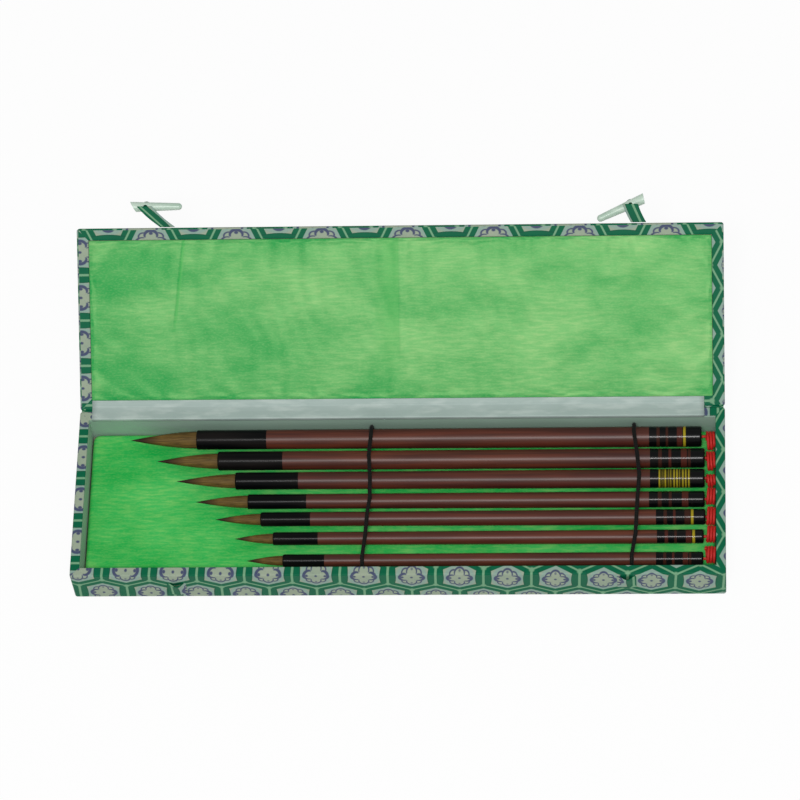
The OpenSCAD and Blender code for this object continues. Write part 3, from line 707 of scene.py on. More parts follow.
def wrinkle(piece, pinned, slack):
    """Runs Cloth on the piece and returns how far each point moved. pinned is each
    point's hold, from 0, free, to 1, sewn down; slack is the cloth's extra length."""
    rest = np.zeros(3 * len(piece.data.vertices))
    piece.data.vertices.foreach_get("co", rest)
    piece.data.vertices.foreach_set("co", rest * PAD_SCALE)
    group = piece.vertex_groups.new(name="sewn")
    for share in np.unique(np.round(pinned, 2)):
        group.add(np.flatnonzero(np.round(pinned, 2) == share).tolist(), float(share), "REPLACE")
    cloth = piece.modifiers.new("satin", "CLOTH")
    cloth.settings.quality = 6
    cloth.settings.mass = 0.2
    cloth.settings.tension_stiffness = 25
    cloth.settings.compression_stiffness = 25
    cloth.settings.shear_stiffness = 8
    cloth.settings.bending_stiffness = 0.05
    cloth.settings.shrink_min = -slack
    cloth.settings.vertex_group_mass = "sewn"
    cloth.settings.effector_weights.gravity = 0
    cloth.collision_settings.use_collision = False
    cloth.point_cache.frame_start = 1
    cloth.point_cache.frame_end = PAD_FRAMES
    scene = bpy.context.scene
    for step in range(1, PAD_FRAMES + 1):
        scene.frame_set(step)
    shown = piece.evaluated_get(bpy.context.evaluated_depsgraph_get())
    moved = np.zeros_like(rest)
    shown.data.vertices.foreach_get("co", moved)
    piece.modifiers.remove(cloth)
    piece.vertex_groups.clear()
    scene.frame_set(1)
    return (moved / PAD_SCALE - rest).reshape(-1, 3)


def only_small(heights, passes=10):
    """Heights less their local mean: the mean is taken by averaging each point with its
    eight neighbours again and again."""
    mean = heights
    for _ in range(passes):
        wide = np.pad(mean, 1, mode="edge")
        rows = sum(wide[i:i + heights.shape[0]] for i in range(3))
        mean = sum(rows[:, j:j + heights.shape[1]] for j in range(3)) / 9
    return heights - mean


def satin_pad(name, half_x, half_y, height, crown, corner, gather, slack, most):
    """The pad's points, lying flat with its bottom at zero. The simulation's folds are
    added to the form as most * tanh(fold / most), so that none is higher than most, and
    away from the edge they fade to the calm share as exp(-edge / reach)."""
    x, y, top = pad_form(half_x, half_y, height, crown, corner, gather)
    points, faces, first_lower = pad_mesh(x, y, top)
    piece = make_piece(name, points, faces)
    edge = np.minimum(half_x - np.abs(x), half_y - np.abs(y)).ravel()
    wadding = 0.02 + 0.3 * np.clip((edge - 8 * MM) / (20 * MM), 0, 1)
    sewn = np.clip(1.15 - edge / (2.0 * MM), 0, 1)
    moved = wrinkle(piece, np.concatenate([np.maximum(sewn, wadding), np.ones(first_lower)]), slack)
    fold = only_small(moved[:first_lower, 2].reshape(x.shape)).ravel()
    print(name, "highest fold", round(float(np.abs(fold).max()) / MM, 2), "mm")
    gathered = CALM_SHARE + (1 - CALM_SHARE) * np.exp(-edge / GATHER_REACH)
    points[:first_lower, 2] += most * np.tanh(fold / most) * gathered
    return piece, points


def place_pad(piece, points, cloth_points):
    """Puts the points in their place and keeps the flat ones as cloth coordinates."""
    point, _ = loops_of(piece)
    set_cloth(piece, cloth_points[point, :2])
    piece.data.vertices.foreach_set("co", np.asarray(points, float).ravel())
    piece.data.update()
    smooth = piece.modifiers.new("smooth", "SUBSURF")
    smooth.levels = smooth.render_levels = 1


# %% Floor pad and lid pad
floor_pad, flat = satin_pad(
    "floor_satin", half_x=159.85 * MM, half_y=41.85 * MM, height=4.45 * MM, crown=0.35 * MM,
    corner=4 * MM, gather=0.08 * MM, slack=0.012, most=0.12 * MM,
)
place_pad(floor_pad, flat + [0, 0, CARD_TOP], flat)
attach(floor_pad, "tray")
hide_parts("floor_pad")

LID_PAD_Y = 0.5 * MM
lid_pad, flat = satin_pad(
    "lid_satin", half_x=159.0 * MM, half_y=41.2 * MM, height=1.5 * MM, crown=0.5 * MM,
    corner=1 * MM, gather=0.3 * MM, slack=0.03, most=0.4 * MM,
)
closed_pad = np.stack([flat[:, 0], LID_PAD_Y - flat[:, 1], LID_BOARD_LOW - flat[:, 2]], 1)
place_pad(lid_pad, opened(closed_pad), flat)
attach(lid_pad, "lid")
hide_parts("lid_pad")

# %% [markdown]
# ## Belt loops and straps
# Both are folded brocade tape. A belt loop bows out from the front wall between its two
# seams, so that a pin can be pushed down behind it. A strap slants from the lid's edge to
# its pin, and its end goes through the pin.

# %% Belt loops
LOOP_HEIGHT, LOOP_WIDTH, LOOP_T = 12 * MM, 9.6 * MM, 0.65 * MM


LOOP_LIFT, LOOP_SUNK = 0.25 * MM, 0.3 * MM
LOOP_LEVELS = np.array([0, 0.15, 0.6, 1.8, 3.5, 5.5, 7.5, 9.5, 11.4, 11.85, 12]) * MM
LOOP_SLIM = np.array([0.3, 0.75, 1, 1, 1, 1, 1, 1, 1, 0.75, 0.3])[:, None]


def belt_loop(name, x, z, rise_low, rise_high, cloth_at):
    """Across the loop the tape stands off the wall by its rise times the cosine of half a
    turn, and its back lies a thickness behind. The rise grows from the foot to the mouth,
    and both ends are rounded by thinning the tape."""
    across, up = np.linspace(-1, 1, 25), LOOP_LEVELS
    rise = (rise_low + (rise_high - rise_low) * (up / LOOP_HEIGHT) ** 1.5)[:, None]
    bow = rise * (0.5 + 0.5 * np.cos(np.pi * across[None, :]))
    thinned = 0.5 * LOOP_T * (1 - LOOP_SLIM)
    front = bow + LOOP_LIFT - thinned
    back = np.maximum(bow + LOOP_LIFT - LOOP_T, -LOOP_SUNK) + thinned * (bow > LOOP_SUNK)
    off = np.concatenate([front, back[:, ::-1]], 1)
    side = np.concatenate([across, across[::-1]])
    points = np.stack([
        np.broadcast_to(x + side[None, :] * LOOP_WIDTH / 2, off.shape),
        -HALF_Y - off,
        np.broadcast_to(z + up[:, None], off.shape),
    ], -1)
    piece = ended_piece(name, points)
    point, _ = loops_of(piece)
    along = side[point % len(side)] * LOOP_WIDTH * 0.55
    set_cloth(piece, np.stack([along + cloth_at[0], up[point // len(side)] + cloth_at[1]], 1))
    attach(piece, "tray")
    return piece


loop_left = belt_loop("loop_left_tape", -111.7 * MM, 3.5 * MM, 0.6 * MM, 2.2 * MM, (-9.2 * MM, -4 * MM))
loop_right = belt_loop("loop_right_tape", 115.3 * MM, 9 * MM, 0.8 * MM, 2.3 * MM, (8.2 * MM, -9 * MM))
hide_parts("loop_left")
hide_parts("loop_right")

# %% Straps
STRAP_T, STRAP_WIDTH = 0.8 * MM, 7.8 * MM
STRAP_Y, STRAP_Z = -47.4 * MM, 28.5 * MM
PIN_NECK_R, PIN_GAP, NECK_R = 2.43 * MM, 0.3 * MM, 0.9 * MM
STRAPS = {"left": (-119, -10.9, 9.9, 14.24), "right": (121.8, -3.8, 8.5, 10.84)}
STRAP_OVER = 0.5 * MM
NECK_SIDES = 20


def tape_section(width, thickness, count=9):
    """A flat tape's outline: an oval drawn out square, by the square root of the cosine
    and the sine to the power of 0.7."""
    angle = np.linspace(0, 2 * np.pi, 4 * count, endpoint=False)
    c, s = np.cos(angle), np.sin(angle)
    x, z = np.sign(c) * np.abs(c) ** 0.5, np.sign(s) * np.abs(s) ** 0.7
    return np.stack([width / 2 * x, thickness / 2 * z], 1)


def strap(side):
    """The tape's rings stay parallel to the lid's edge, and step out and sideways along
    a slightly curved line; a neck and a tab follow through the pin. STRAPS holds, in
    millimetres, the root's X, the lean sideways, the reach and the place in the cloth."""
    root_x, lean, reach, cloth_p = (v * MM for v in STRAPS[side])
    share = np.linspace(-0.04, (reach + STRAP_OVER) / reach, 22)
    bow = 0.07 * lean * np.sin(np.pi * np.clip(share, 0, 1))
    outline = tape_section(STRAP_WIDTH, STRAP_T)
    slim = np.clip((share[-1] - share) / 0.03, 0.3, 1) ** 0.5
    points = np.stack([
        root_x + (lean * share + bow)[:, None] + outline[None, :, 0],
        np.broadcast_to(STRAP_Y - (reach * share)[:, None], (len(share), len(outline))),
        STRAP_Z + outline[None, :, 1] * slim[:, None],
    ], -1)
    stack = 2 * PIN_NECK_R + 2 * PIN_GAP
    levels = stack * np.array([0, 1, 1, 1, 1, 1]) + STRAP_T * np.array([0, 0.5, 0.5, 1, 1.5, 1.5])
    radii = np.array([NECK_R, NECK_R, 2.0 * MM, 2.6 * MM, 2.3 * MM, 1.2 * MM])
    angle = np.linspace(0, 2 * np.pi, NECK_SIDES, endpoint=False)
    neck = np.stack([
        root_x + lean + radii[:, None] * np.cos(angle),
        STRAP_Y - reach + radii[:, None] * np.sin(angle),
        np.broadcast_to(STRAP_Z + levels[:, None], (len(levels), NECK_SIDES)),
    ], -1)
    first = points[..., 0].size
    faces = np.vstack([grid_faces(*points.shape[:2]), grid_faces(*neck.shape[:2]) + first])
    top = range(first + neck[:-1, :, 0].size, first + neck[..., 0].size)
    everything = np.vstack([points.reshape(-1, 3), neck.reshape(-1, 3)])
    caps = [*end_faces(*points.shape[:2]), top]
    piece = make_piece(f"strap_{side}_tape", opened(everything), faces, caps)
    point, _ = loops_of(piece)
    flat = everything[point]
    out = STRAP_Y - flat[:, 1]
    across = flat[:, 0] - root_x - lean * out / reach
    set_cloth(piece, np.stack([across + cloth_p, out - 0.5 * reach], 1))
    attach(piece, f"strap_{side}")
    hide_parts(f"strap_{side}")
    return piece


straps = [strap("left"), strap("right")]

# %% [markdown]
# ## Hair
# The hair of a writing brush is bound into a full root and drawn to a fine point with
# starch. The tuft is a turned form whose radius falls slowly and then fast, with shallow
# flutes where the hairs have drawn together in locks.

# %% Brush tufts
HAIR_ROOT = 1.5 * MM
ALONG_TUFT = np.concatenate([np.linspace(0, 0.86, 26), np.linspace(0.885, 0.998, 9)])


def tuft(i):
    """Radius along the hair: root radius times (1 - t^1.75)^1.05, as in the solid, with
    flutes that deepen towards the point and turn slightly round it."""
    t = np.concatenate([[-HAIR_ROOT / hair_l[i]], ALONG_TUFT])
    body = hair_r[i] * np.clip(1 - np.clip(t, 0, 1) ** 1.75, 0.0004, 1) ** 1.05
    angle = np.linspace(0, 2 * np.pi, 56, endpoint=False)
    turn = angle[None, :] + 0.35 * t[:, None]
    start = 1.7 * i
    flutes = 0.45 * np.sin(7 * turn + start) + 0.25 * np.sin(24 * turn - start)
    flutes += 0.3 * np.sin(13 * turn + 2 * start + 2 * t[:, None])
    depth = 0.012 + 0.07 * np.clip(t[:, None], 0, 1) ** 1.5
    radius = body[:, None] * (1 - depth + depth * flutes)
    points = np.stack([
        np.broadcast_to((ferrule_x[i] - hair_l[i] * t)[:, None], radius.shape),
        row_y[i] + radius * np.cos(angle),
        axis_z[i] + radius * np.sin(angle),
    ], -1)
    piece = ended_piece(f"brush_{i + 1}_tuft", points)
    point, _ = loops_of(piece)
    set_cloth(piece, np.stack([t[point // len(angle)], (point % len(angle)) / len(angle)], 1))
    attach(piece, f"brush_{i + 1}")
    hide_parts(f"brush_{i + 1}_hair")
    return piece


tufts = [tuft(i) for i in range(BRUSH_COUNT)]
print("tufts:", len(tufts))

# %% [markdown]
# ## Writing materials as expressions
# A material is a net of nodes. To write one as arithmetic, a small class wraps a socket:
# adding two values adds a Math node. Colours are mixed with Mix nodes.

# %% Value and Finish
class Value:
    """A socket that carries a number, with Python's arithmetic."""

    def __init__(self, finish, socket):
        self.finish, self.socket = finish, socket

    def math(self, operation, *others, clamp=False):
        sockets = dict(enumerate((self, *others)))
        return self.finish.node("ShaderNodeMath", sockets, operation=operation, use_clamp=clamp)

    def __add__(self, other):
        return self.math("ADD", other)

    def __sub__(self, other):
        return self.math("SUBTRACT", other)

    def __rsub__(self, other):
        return self.math("MULTIPLY_ADD", -1, other)

    def __mul__(self, other):
        return self.math("MULTIPLY", other)

    def __truediv__(self, other):
        return self.math("DIVIDE", other)

    def __pow__(self, other):
        return self.math("POWER", other)

    def __abs__(self):
        return self.math("ABSOLUTE")

    __radd__, __rmul__ = __add__, __mul__

    def below(self, edge, soft):
        """1 where the value is under edge, 0 where it is over, over a width of soft."""
        return self.math("MULTIPLY_ADD", -1 / soft, edge / soft + 0.5, clamp=True)

    def above(self, edge, soft):
        """1 where the value is over edge."""
        return self.math("MULTIPLY_ADD", 1 / soft, 0.5 - edge / soft, clamp=True)

    def wrap(self, half):
        """The value brought between -half and half by whole periods."""
        return self.math("WRAP", half, -half)


class Finish:
    """A material in the making."""

    def __init__(self, name, **constants):
        self.material = bpy.data.materials.new(name)
        self.material.use_nodes = True
        self.tree = self.material.node_tree
        self.tree.nodes.clear()
        self.shader = self.node("ShaderNodeBsdfPrincipled", constants)
        self.outlet = self.node("ShaderNodeOutputMaterial", {"Surface": self.shader})

    def node(self, kind, sockets=None, out=0, **settings):
        made = self.tree.nodes.new(kind)
        for name, value in settings.items():
            setattr(made, name, value)
        for key, value in (sockets or {}).items():
            if isinstance(value, Value):
                self.tree.links.new(value.socket, made.inputs[key])
            else:
                made.inputs[key].default_value = value
        return Value(self, made.outputs[out]) if made.outputs else made

    def mix(self, a, b, share):
        """Colour a where share is 0, b where it is 1."""
        return self.node("ShaderNodeMix", {0: share, 6: a, 7: b}, out=2, data_type="RGBA")

    def place(self, source="Object", scale=1000.0):
        """The point's X, Y and Z, in millimetres, and the point itself."""
        point = self.node("ShaderNodeTexCoord", out=source)
        parts = self.node("ShaderNodeSeparateXYZ", {0: point}).socket.node
        return [Value(self, output) * scale for output in parts.outputs], point

    def noise(self, point, scale, detail=3.0, stretch=None, rough=0.5):
        """Even noise from 0 to 1; stretch multiplies the three axes."""
        if stretch:
            point = self.node("ShaderNodeVectorMath", {0: point, 1: stretch}, operation="MULTIPLY")
        settings = {"Vector": point, "Scale": scale, "Detail": detail, "Roughness": rough}
        return self.node("ShaderNodeTexNoise", settings)

    def bump(self, height, strength, distance):
        """A normal from a height; the distance is in metres."""
        return self.node("ShaderNodeBump", {"Height": height, "Strength": strength, "Distance": distance})

    def finish(self, **links):
        """Links the shader's sockets: base_color=... goes to Base Color, and so on."""
        inputs = self.shader.socket.node.inputs
        for name, value in links.items():
            self.tree.links.new(value.socket, inputs[name.replace("_", " ").title()])
        return self.material


def most(first, *others):
    """The largest of several values."""
    for other in others:
        first = first.math("MAXIMUM", other)
    return first


def away(x, y):
    """Distance from the middle, the square root of x^2 + y^2."""
    return (x * x + y * y) ** 0.5


def srgb(red, green, blue):
    """Scene colour of a screen colour of 0 to 255: c/12.92 when dark, else
    ((c + 0.055) / 1.055)^2.4."""
    c = np.array([red, green, blue]) / 255
    linear = np.where(c <= 0.04045, c / 12.92, ((c + 0.055) / 1.055) ** 2.4)
    return (*linear.tolist(), 1.0)


def dress(piece, material):
    """Gives every slot of a piece the material."""
    if not piece.material_slots:
        piece.data.materials.append(material)
    for slot in piece.material_slots:
        slot.material = material


# %% [markdown]
# ## Brocade
# The pattern is a net of hexagons. To know where a point lies in its hexagon, its cloth
# coordinates are wrapped in two ways, once for the even rows and once for the odd ones,
# and the nearer centre wins. The distance to the hexagon's sides then draws the ivory
# lines and green bands, and circles about four points draw the ring of scrolls.

# %% Brocade material
CELL, ROW, SIDE_HALF = 24.07, 21.9, 7.9
TOP = ROW - SIDE_HALF
FLATTENED, HOOK_AT, HOOK_R, LINK_AT, LINK_R, BEAD_AT = 0.77, 3.5, 2.5, 3.0, 1.9, 4.7
IVORY, IVORY_DIM = srgb(170, 176, 152), srgb(140, 158, 138)
PALE_BLUE, PALE_GREEN = srgb(136, 166, 156), srgb(118, 164, 128)
GREEN, GREEN_DARK = srgb(0, 104, 68), srgb(4, 72, 56)
NAVY = srgb(54, 60, 102)


def brocade():
    f = Finish("brocade", **{"Specular IOR Level": 0.12})
    (p, q, _), point = f.place("UV")
    slope = (TOP - SIDE_HALF) / (CELL / 2)
    even = [p.wrap(CELL / 2), q.wrap(ROW)]
    odd = [(p - CELL / 2).wrap(CELL / 2), (q - ROW).wrap(ROW)]
    inside = (abs(even[1]) + abs(even[0]) * slope).below(TOP, 0.002)
    px = abs(even[0] * inside + odd[0] * (1 - inside))
    qy = abs(even[1] * inside + odd[1] * (1 - inside))
    to_side = CELL / 2 - px
    to_slant = (TOP - qy - px * slope) / (1 + slope**2) ** 0.5
    lens = 4.2 - (qy * qy) * 0.012
    band = most((to_side - lens).below(0, 0.25), to_slant.below(3.1, 0.25))
    at_top = away(px, qy - TOP)
    star = at_top.math("MINIMUM", away(px - CELL / 2, qy - SIDE_HALF)).below(1.3, 0.8)
    line = most(to_side.below(0.6, 0.3), to_slant.below(0.48, 0.3), star)
    edge_line = (to_side - lens).below(0, 0.8) * (1 - (to_side - lens).below(-0.4, 0.4))
    high = qy * FLATTENED
    e_side = away(px - HOOK_AT, high)
    e_top = away(px, high - HOOK_AT)
    e_diag = away(px - LINK_AT, high - LINK_AT)
    hook_side = (abs(e_side - HOOK_R) - px * 0.13).below(0, 0.4) * px.above(2.6, 0.5)
    hook_top = (abs(e_top - HOOK_R) - high * 0.06).below(0.1, 0.4) * high.above(2.6, 0.5)
    link = abs(e_diag - LINK_R).below(0.36, 0.4) * e_side.above(HOOK_R, 0.3) * e_top.above(HOOK_R, 0.3)
    bead_side = away(px - BEAD_AT, high).below(0.8, 0.4)
    bead_top = away(px, high - BEAD_AT).below(0.6, 0.4) * 0.7
    heart = away(px, high)
    scroll = most(hook_side, hook_top, link, bead_side, bead_top, heart.below(0.7, 0.5))
    halo = abs(heart - 7.2).below(0.9, 1.2)
    mottle = f.noise(point, 90, 3)
    ground = f.mix(f.mix(IVORY, IVORY_DIM, mottle), PALE_BLUE, halo * 0.7 + 0.12)
    colour = f.mix(ground, f.mix(GREEN, GREEN_DARK, edge_line * 0.5 + mottle * 0.5), band)
    colour = f.mix(colour, PALE_GREEN, line)
    colour = f.mix(colour, NAVY, scroll * 0.9)
    thread = (p * 12.6).math("SINE") * 0.5 + 0.5
    weft = (q * 9.3).math("SINE") * 0.5 + 0.5
    colour = f.mix(colour, srgb(30, 60, 50), thread * weft * 0.16)
    relief = band * 0.5 + scroll * 0.7 + thread * 0.25 + weft * 0.25
    rough = 0.66 - band * 0.1 - scroll * 0.06
    return f.finish(base_color=colour, roughness=rough, normal=f.bump(relief, 0.35, 0.00012))


brocade_cloth = brocade()
for piece in [tray_brocade, tray_underside, lid_brocade, hinge_spine, loop_left, loop_right, *straps]:
    dress(piece, brocade_cloth)

# %% [markdown]
# ## Satin and papers
# Satin's long floating threads give it its gloss: a clear green in diffuse light that
# turns pale and yellowish where the lamp is mirrored. Part of that gloss is painted into
# the colour: lighter cloudy patches are painted sheen, and pale threads and specks are
# painted highlights. Threads also show in the bump. The papers are duller, with a metallic
# bloom on the silver one; the wall paper's green tint is a painted reflection of the satin.

# %% Satin, wall paper, silver paper
def satin(name, deep, bright, pale, gloss, creased_and_shaded):
    """Green whose lighter cloudy patches are painted sheen, with pale threads and specks as
    painted highlights. On the lid the left end gets painted shade, a slanted crease runs
    down from the free edge with painted shade along it, and left of the middle the cloth
    has the mark of an old fold, with a band of painted shade beside it."""
    f = Finish(name, **{
        "Specular IOR Level": gloss, "Specular Tint": srgb(214, 240, 170),
        "Sheen Weight": 0.06, "Sheen Roughness": 0.35, "Sheen Tint": srgb(214, 232, 130),
    })
    (u, v, _), point = f.place("UV")
    cloud = f.noise(point, 24, 4, stretch=(0.8, 1.5, 1.0), rough=0.55)
    threads = f.noise(point, 520, 3, stretch=(0.24, 1.4, 1.0))
    grain = f.noise(point, 1300, 2, stretch=(0.5, 1.0, 1.0))
    # On the lid, painted shade: the tone drops towards the left end, which darkens that end.
    tone = (cloud - (1 - u.above(-70, 110)) * 0.1) if creased_and_shaded else cloud
    # Painted sheen: the cloud mixes in lighter green patches where uneven cloth would mirror the lamp.
    green = f.mix(deep, bright, tone.above(0.48, 0.3))
    # Painted highlight: pale threads and specks where the lamp would glint on the satin.
    painted_thread_highlight = threads.above(0.54, 0.24) * tone.above(0.48, 0.4) * 0.5
    green = f.mix(green, pale, painted_thread_highlight + grain.above(0.57, 0.2) * 0.14)
    relief = cloud * 0.8 + threads * 0.12 + grain * 0.05
    if creased_and_shaded:
        crease = abs(u + 114.8 - v * 0.12).below(0.7, 1.0) * v.above(-2, 10)
        fold_shade = u.above(-10, 10) * u.below(-0.2, 0.8) * v.above(-20, 30)
        # Painted shade: the crease and a band left of the middle fold are darkened; the crease and the
        # fold's step are also raised in the bump.
        green = f.mix(green, srgb(44, 166, 76), crease * 0.6 + fold_shade * 0.45)
        relief = relief + crease * 0.7 + u.above(0, 1.2) * v.above(-20, 30) * 0.4
    return f.finish(base_color=green, roughness=0.36 + threads * 0.14, normal=f.bump(relief, 0.3, 0.0008))


def wall_paper_finish():
    f = Finish("wall_paper", **{"Specular IOR Level": 0.4, "Sheen Weight": 0.1})
    _, point = f.place()
    cloud = f.noise(point, 30, 3)
    fibre = f.noise(point, 400, 2, stretch=(0.2, 0.2, 1.0))
    # Painted reflection: the paper is silver-grey, and its green tint stands in for green light thrown up
    # from the satin.
    grey = f.mix(srgb(156, 184, 168), srgb(140, 170, 152), cloud)
    return f.finish(
        base_color=grey, roughness=0.5 + fibre * 0.15, normal=f.bump(cloud * 0.5 + fibre * 0.3, 0.3, 0.0002)
    )


def silver_paper():
    f = Finish("silver_paper", **{"Specular IOR Level": 0.22})
    _, point = f.place()
    cloud = f.noise(point, 40, 3)
    fibre = f.noise(point, 300, 3, stretch=(0.25, 1.0, 1.0))
    grey = f.mix(srgb(170, 186, 180), srgb(150, 168, 162), cloud)
    grey = f.mix(grey, srgb(192, 204, 198), fibre.above(0.58, 0.2) * 0.5)
    return f.finish(
        base_color=grey, metallic=cloud * 0.1 + 0.05, roughness=0.52 + fibre * 0.15,
        normal=f.bump(fibre, 0.3, 0.0002)
    )


# Each pad's greens: deep, bright for the painted sheen patches, and pale for the painted highlights. The
# lid's greens are paler than the floor's, though it is the same satin: painted sheen from the lamp mirrored
# in the lid's slope.
FLOOR_GREENS = srgb(0, 166, 68), srgb(64, 188, 92), srgb(144, 208, 110)
LID_GREENS = srgb(28, 156, 76), srgb(104, 182, 106), srgb(160, 204, 132)
dress(floor_pad, satin("floor_satin", *FLOOR_GREENS, gloss=0.4, creased_and_shaded=False))
dress(lid_pad, satin("lid_satin", *LID_GREENS, gloss=0.45, creased_and_shaded=True))
dress(wall_paper, wall_paper_finish())
dress(hinge_paper, silver_paper())

# %% [markdown]
# ## Hard parts
# Board, lacquered wood, black horn and pale bone. Lacquer is a clear coat over stained
# wood whose grain runs along the handle. The collars are turned horn and wood rings: the
# colour changes at measured places along X, which differ from brush to brush.

# %% Board, lacquer, horn, bone
def board():
    f = Finish("grey_board", **{"Specular IOR Level": 0.3})
    _, point = f.place()
    fleck = f.noise(point, 500, 4)
    grey = f.mix(srgb(140, 132, 118), srgb(112, 106, 94), fleck)
    return f.finish(base_color=grey, roughness=0.85 + fleck * 0.1, normal=f.bump(fleck, 0.3, 0.0002))


def lacquer():
    f = Finish("lacquer", **{"Specular IOR Level": 0.28, "Coat Roughness": 0.3, "Coat Weight": 0.12})
    _, point = f.place()
    grain = f.noise(point, 420, 4, stretch=(0.04, 1.0, 1.0), rough=0.6)
    tone = f.noise(point, 22, 3, stretch=(0.6, 3.0, 3.0))
    wood = f.mix(srgb(74, 32, 25), srgb(100, 50, 32), tone.above(0.5, 0.4))
    wood = f.mix(wood, srgb(36, 20, 18), grain.above(0.52, 0.2) * 0.5)
    return f.finish(base_color=wood, roughness=0.37 + grain * 0.12, normal=f.bump(grain, 0.12, 0.0001))


def horn_colour(f, point):
    """Black horn with faint brown clouds drawn along the brush."""
    cloud = f.noise(point, 120, 3, stretch=(0.15, 1.0, 1.0))
    return f.mix(srgb(7, 8, 9), srgb(22, 19, 18), cloud.above(0.56, 0.2)), cloud


def horn():
    f = Finish("horn", **{"Specular IOR Level": 0.07, "Coat Weight": 0.03, "Coat Roughness": 0.1})
    _, point = f.place()
    black, cloud = horn_colour(f, point)
    return f.finish(base_color=black, roughness=0.24 + cloud * 0.12, normal=f.bump(cloud, 0.05, 0.0001))


FINE_RINGED, FINE_RINGS = 2, 14
RING_MARKS = [0.19, 0.30, 0.44, 0.53, 0.74, 0.91, 1.0]
BLACK, BROWN, RUST, GOLD = None, srgb(56, 28, 20), srgb(72, 32, 24), srgb(156, 140, 30)
RING_TONES = [
    [BLACK, BROWN, BLACK, BROWN, BLACK, RUST, GOLD],
    [BLACK, BROWN, BLACK, RUST, BLACK, RUST, BROWN],
    [BLACK, GOLD, GOLD, GOLD, GOLD, GOLD, GOLD],
    [BLACK, BROWN, BLACK, BROWN, BLACK, RUST, BLACK],
    [BLACK, BROWN, BLACK, RUST, BLACK, BROWN, GOLD],
    [BLACK, RUST, BLACK, BROWN, BLACK, RUST, GOLD],
    [BLACK, BROWN, BLACK, RUST, BLACK, RUST, BROWN],
]


def ringed(i):
    """Horn with coloured rings between the marks, measured from the collar's start."""
    f = Finish(
        f"collar_{i + 1}", **{"Specular IOR Level": 0.1, "Coat Weight": 0.12, "Coat Roughness": 0.08}
    )
    (x, _, _), point = f.place()
    colour, cloud = horn_colour(f, point)
    share = (x - collar_x[i] / MM) / (collar_l[i] / MM)
    low = 0.0
    for high, tone in zip(RING_MARKS, RING_TONES[i]):
        if tone:
            inside = share.above(low + 0.012, 0.02) * share.below(high - 0.012, 0.02)
            if i == FINE_RINGED:
                inside = inside * ((share * (2 * np.pi * FINE_RINGS)).math("SINE") * 0.5 + 0.5)
            colour = f.mix(colour, tone, inside)
        low = high
    return f.finish(base_color=colour, roughness=0.22 + cloud * 0.12, normal=f.bump(cloud, 0.05, 0.0001))


def bone():
    f = Finish("bone", **{
        "Specular IOR Level": 0.5, "Coat Weight": 0.35, "Coat Roughness": 0.2,
        "Subsurface Weight": 0.15, "Subsurface Radius": (0.002, 0.002, 0.0018), "Subsurface Scale": 0.5,
    })
    _, point = f.place()
    vein = f.noise(point, 260, 4, stretch=(0.12, 1.0, 1.0))
    pale = f.mix(srgb(196, 216, 200), srgb(156, 186, 166), vein.above(0.55, 0.3))
    return f.finish(base_color=pale, roughness=0.36 + vein * 0.1, normal=f.bump(vein, 0.1, 0.0002))


board_grey, lacquered, horn_black, bone_pale = board(), lacquer(), horn(), bone()
for name in (
    "bottom_board", "front_wall", "rear_wall", "left_wall", "right_wall", "floor_card", "lid_board"
):
    dress(nodes[name], board_grey)
for i in range(BRUSH_COUNT):
    dress(nodes[f"brush_{i + 1}_handle"], lacquered)
    dress(nodes[f"brush_{i + 1}_ferrule"], horn_black)
    dress(nodes[f"brush_{i + 1}_collar"], ringed(i))
for name in ("toggle_left", "toggle_right"):
    dress(nodes[name], bone_pale)

# %% [markdown]
# ## Soft threads
# Silk and elastic are read along their own length, so their colour and bump follow the
# cloth coordinates of the tubes. Hair darkens towards its point and is streaked along it.

# %% Silk, elastic, hair
def silk():
    f = Finish("red_silk", **{
        "Specular IOR Level": 0.45,
        "Sheen Weight": 0.3, "Sheen Roughness": 0.4, "Sheen Tint": srgb(255, 120, 90),
    })
    (along, around, _), point = f.place("UV")
    per_turn, per_mm = 8 / (SILK_D / 2 / MM), 8 * 2 * np.pi / (SILK_TWIST / MM)
    fibre = (around * per_turn - along * per_mm).math("SINE") * 0.5 + 0.5
    patch = f.noise(point, 420, 3)
    red = f.mix(srgb(222, 38, 30), srgb(176, 24, 20), patch)
    red = f.mix(red, srgb(140, 14, 14), fibre * 0.3)
    return f.finish(base_color=red, roughness=0.5 + patch * 0.2, normal=f.bump(fibre, 0.4, 0.0001))


def elastic_finish():
    f = Finish(
        "black_elastic", **{"Specular IOR Level": 0.15, "Sheen Weight": 0.04, "Sheen Roughness": 0.5}
    )
    (along, around, _), _ = f.place("UV")
    there, back = along * 2.6 + around * 4.0, along * 2.6 - around * 4.0
    weave = there.math("SINE") * back.math("SINE") * 0.5 + 0.5
    black = f.mix(srgb(6, 6, 6), srgb(22, 21, 19), weave)
    return f.finish(base_color=black, roughness=0.7 - weave * 0.15, normal=f.bump(weave, 0.4, 0.0002))


def hair_finish():
    f = Finish("hair", **{"Specular IOR Level": 0.2})
    (along, around, _), _ = f.place("UV", 1.0)
    strands = f.node("ShaderNodeCombineXYZ", {0: along * 0.9, 1: around * 26, 2: 0.0})
    streak = f.noise(strands, 3.0, 4, rough=0.65)
    warm = f.mix(srgb(122, 96, 44), srgb(54, 42, 20), streak.above(0.5, 0.24))
    tipped = f.mix(warm, srgb(44, 28, 16), (along + streak * 0.3).above(0.82, 0.3))
    rooted = f.mix(tipped, srgb(84, 62, 30), along.below(0.1, 0.15) * 0.4)
    return f.finish(base_color=rooted, roughness=0.5 + streak * 0.15, normal=f.bump(streak, 0.5, 0.0002))


silk_red, elastic_black, hair_brown = silk(), elastic_finish(), hair_finish()
for piece in silk_cords:
    dress(piece, silk_red)
for piece in elastics:
    dress(piece, elastic_black)
for piece in tufts:
    dress(piece, hair_brown)

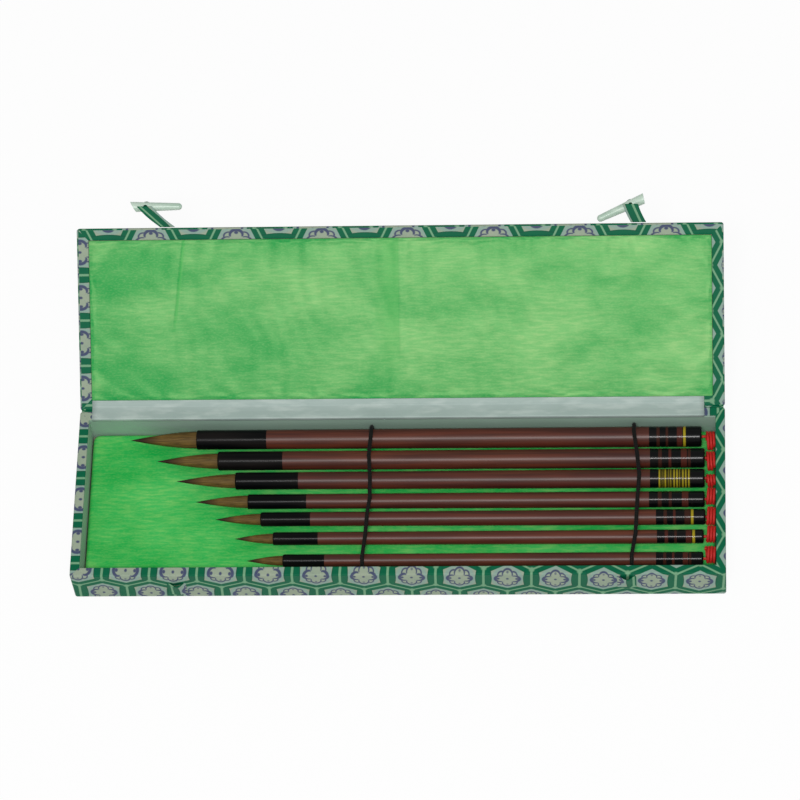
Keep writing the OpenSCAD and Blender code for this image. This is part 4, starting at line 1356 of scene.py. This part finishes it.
# %% [markdown]
# ## Floor and light
# The box stands on a white floor that keeps a faint shadow. One fairly small lamp stands
# near the camera: it draws the thin bright line along the middle of each lacquered
# handle and lightens the lid's satin, whose slope mirrors it. The world fills in softly.

# %% Floor
FLOOR_HALF, FLOOR_WHITE = 12.0, 0.92
floor_mesh = bpy.data.meshes.new("floor")
corners = [(FLOOR_HALF * x, FLOOR_HALF * y, 0) for x, y in ((-1, -1), (1, -1), (1, 1), (-1, 1))]
floor_mesh.from_pydata(corners, [], [(0, 1, 2, 3)])
floor = bpy.data.objects.new("floor", floor_mesh)
bpy.context.scene.collection.objects.link(floor)
pale = Finish("floor", **{"Roughness": 0.9, "Base Color": (0.9, 0.9, 0.9, 1), "Specular IOR Level": 0.1})
ray = pale.node("ShaderNodeLightPath").socket.node.outputs
seen, glossy, through = (
    Value(pale, ray[f"Is {kind} Ray"]) for kind in ("Camera", "Glossy", "Transmission")
)
white = pale.node("ShaderNodeEmission", {"Color": (1, 1, 1, 1), "Strength": 1.0})
share = (seen + glossy + through).math("MINIMUM", 1.0) * FLOOR_WHITE
shown = pale.node("ShaderNodeMixShader", {0: share, 1: pale.shader, 2: white})
pale.tree.links.new(shown.socket, pale.outlet.inputs["Surface"])
dress(floor, pale.material)

# %% World and lamp
world = bpy.data.worlds.new("studio")
bpy.context.scene.world = world
world.use_nodes = True
net = world.node_tree
net.nodes.clear()
output = net.nodes.new("ShaderNodeOutputWorld")
sky = net.nodes.new("ShaderNodeBackground")
sky.inputs["Color"].default_value = (1.0, 1.0, 1.0, 1)
sky.inputs["Strength"].default_value = 0.42
net.links.new(sky.outputs[0], output.inputs[0])


def lamp(name, azimuth, elevation, distance, size, power):
    """A rectangular area lamp at an angle and distance from the box, facing it."""
    azimuth, elevation = np.radians([azimuth, elevation])
    data = bpy.data.lights.new(name, "AREA")
    data.shape = "RECTANGLE"
    data.size, data.size_y = size
    data.energy = power
    light = bpy.data.objects.new(name, data)
    level = distance * np.cos(elevation)
    light.location = (level * np.sin(azimuth), -level * np.cos(azimuth), distance * np.sin(elevation))
    light.rotation_euler = (np.pi / 2 - elevation, 0, azimuth)
    bpy.context.scene.collection.objects.link(light)


lamp("key", azimuth=2, elevation=63, distance=3.0, size=(0.9, 0.45), power=52)
bpy.context.scene.view_settings.view_transform = "Standard"
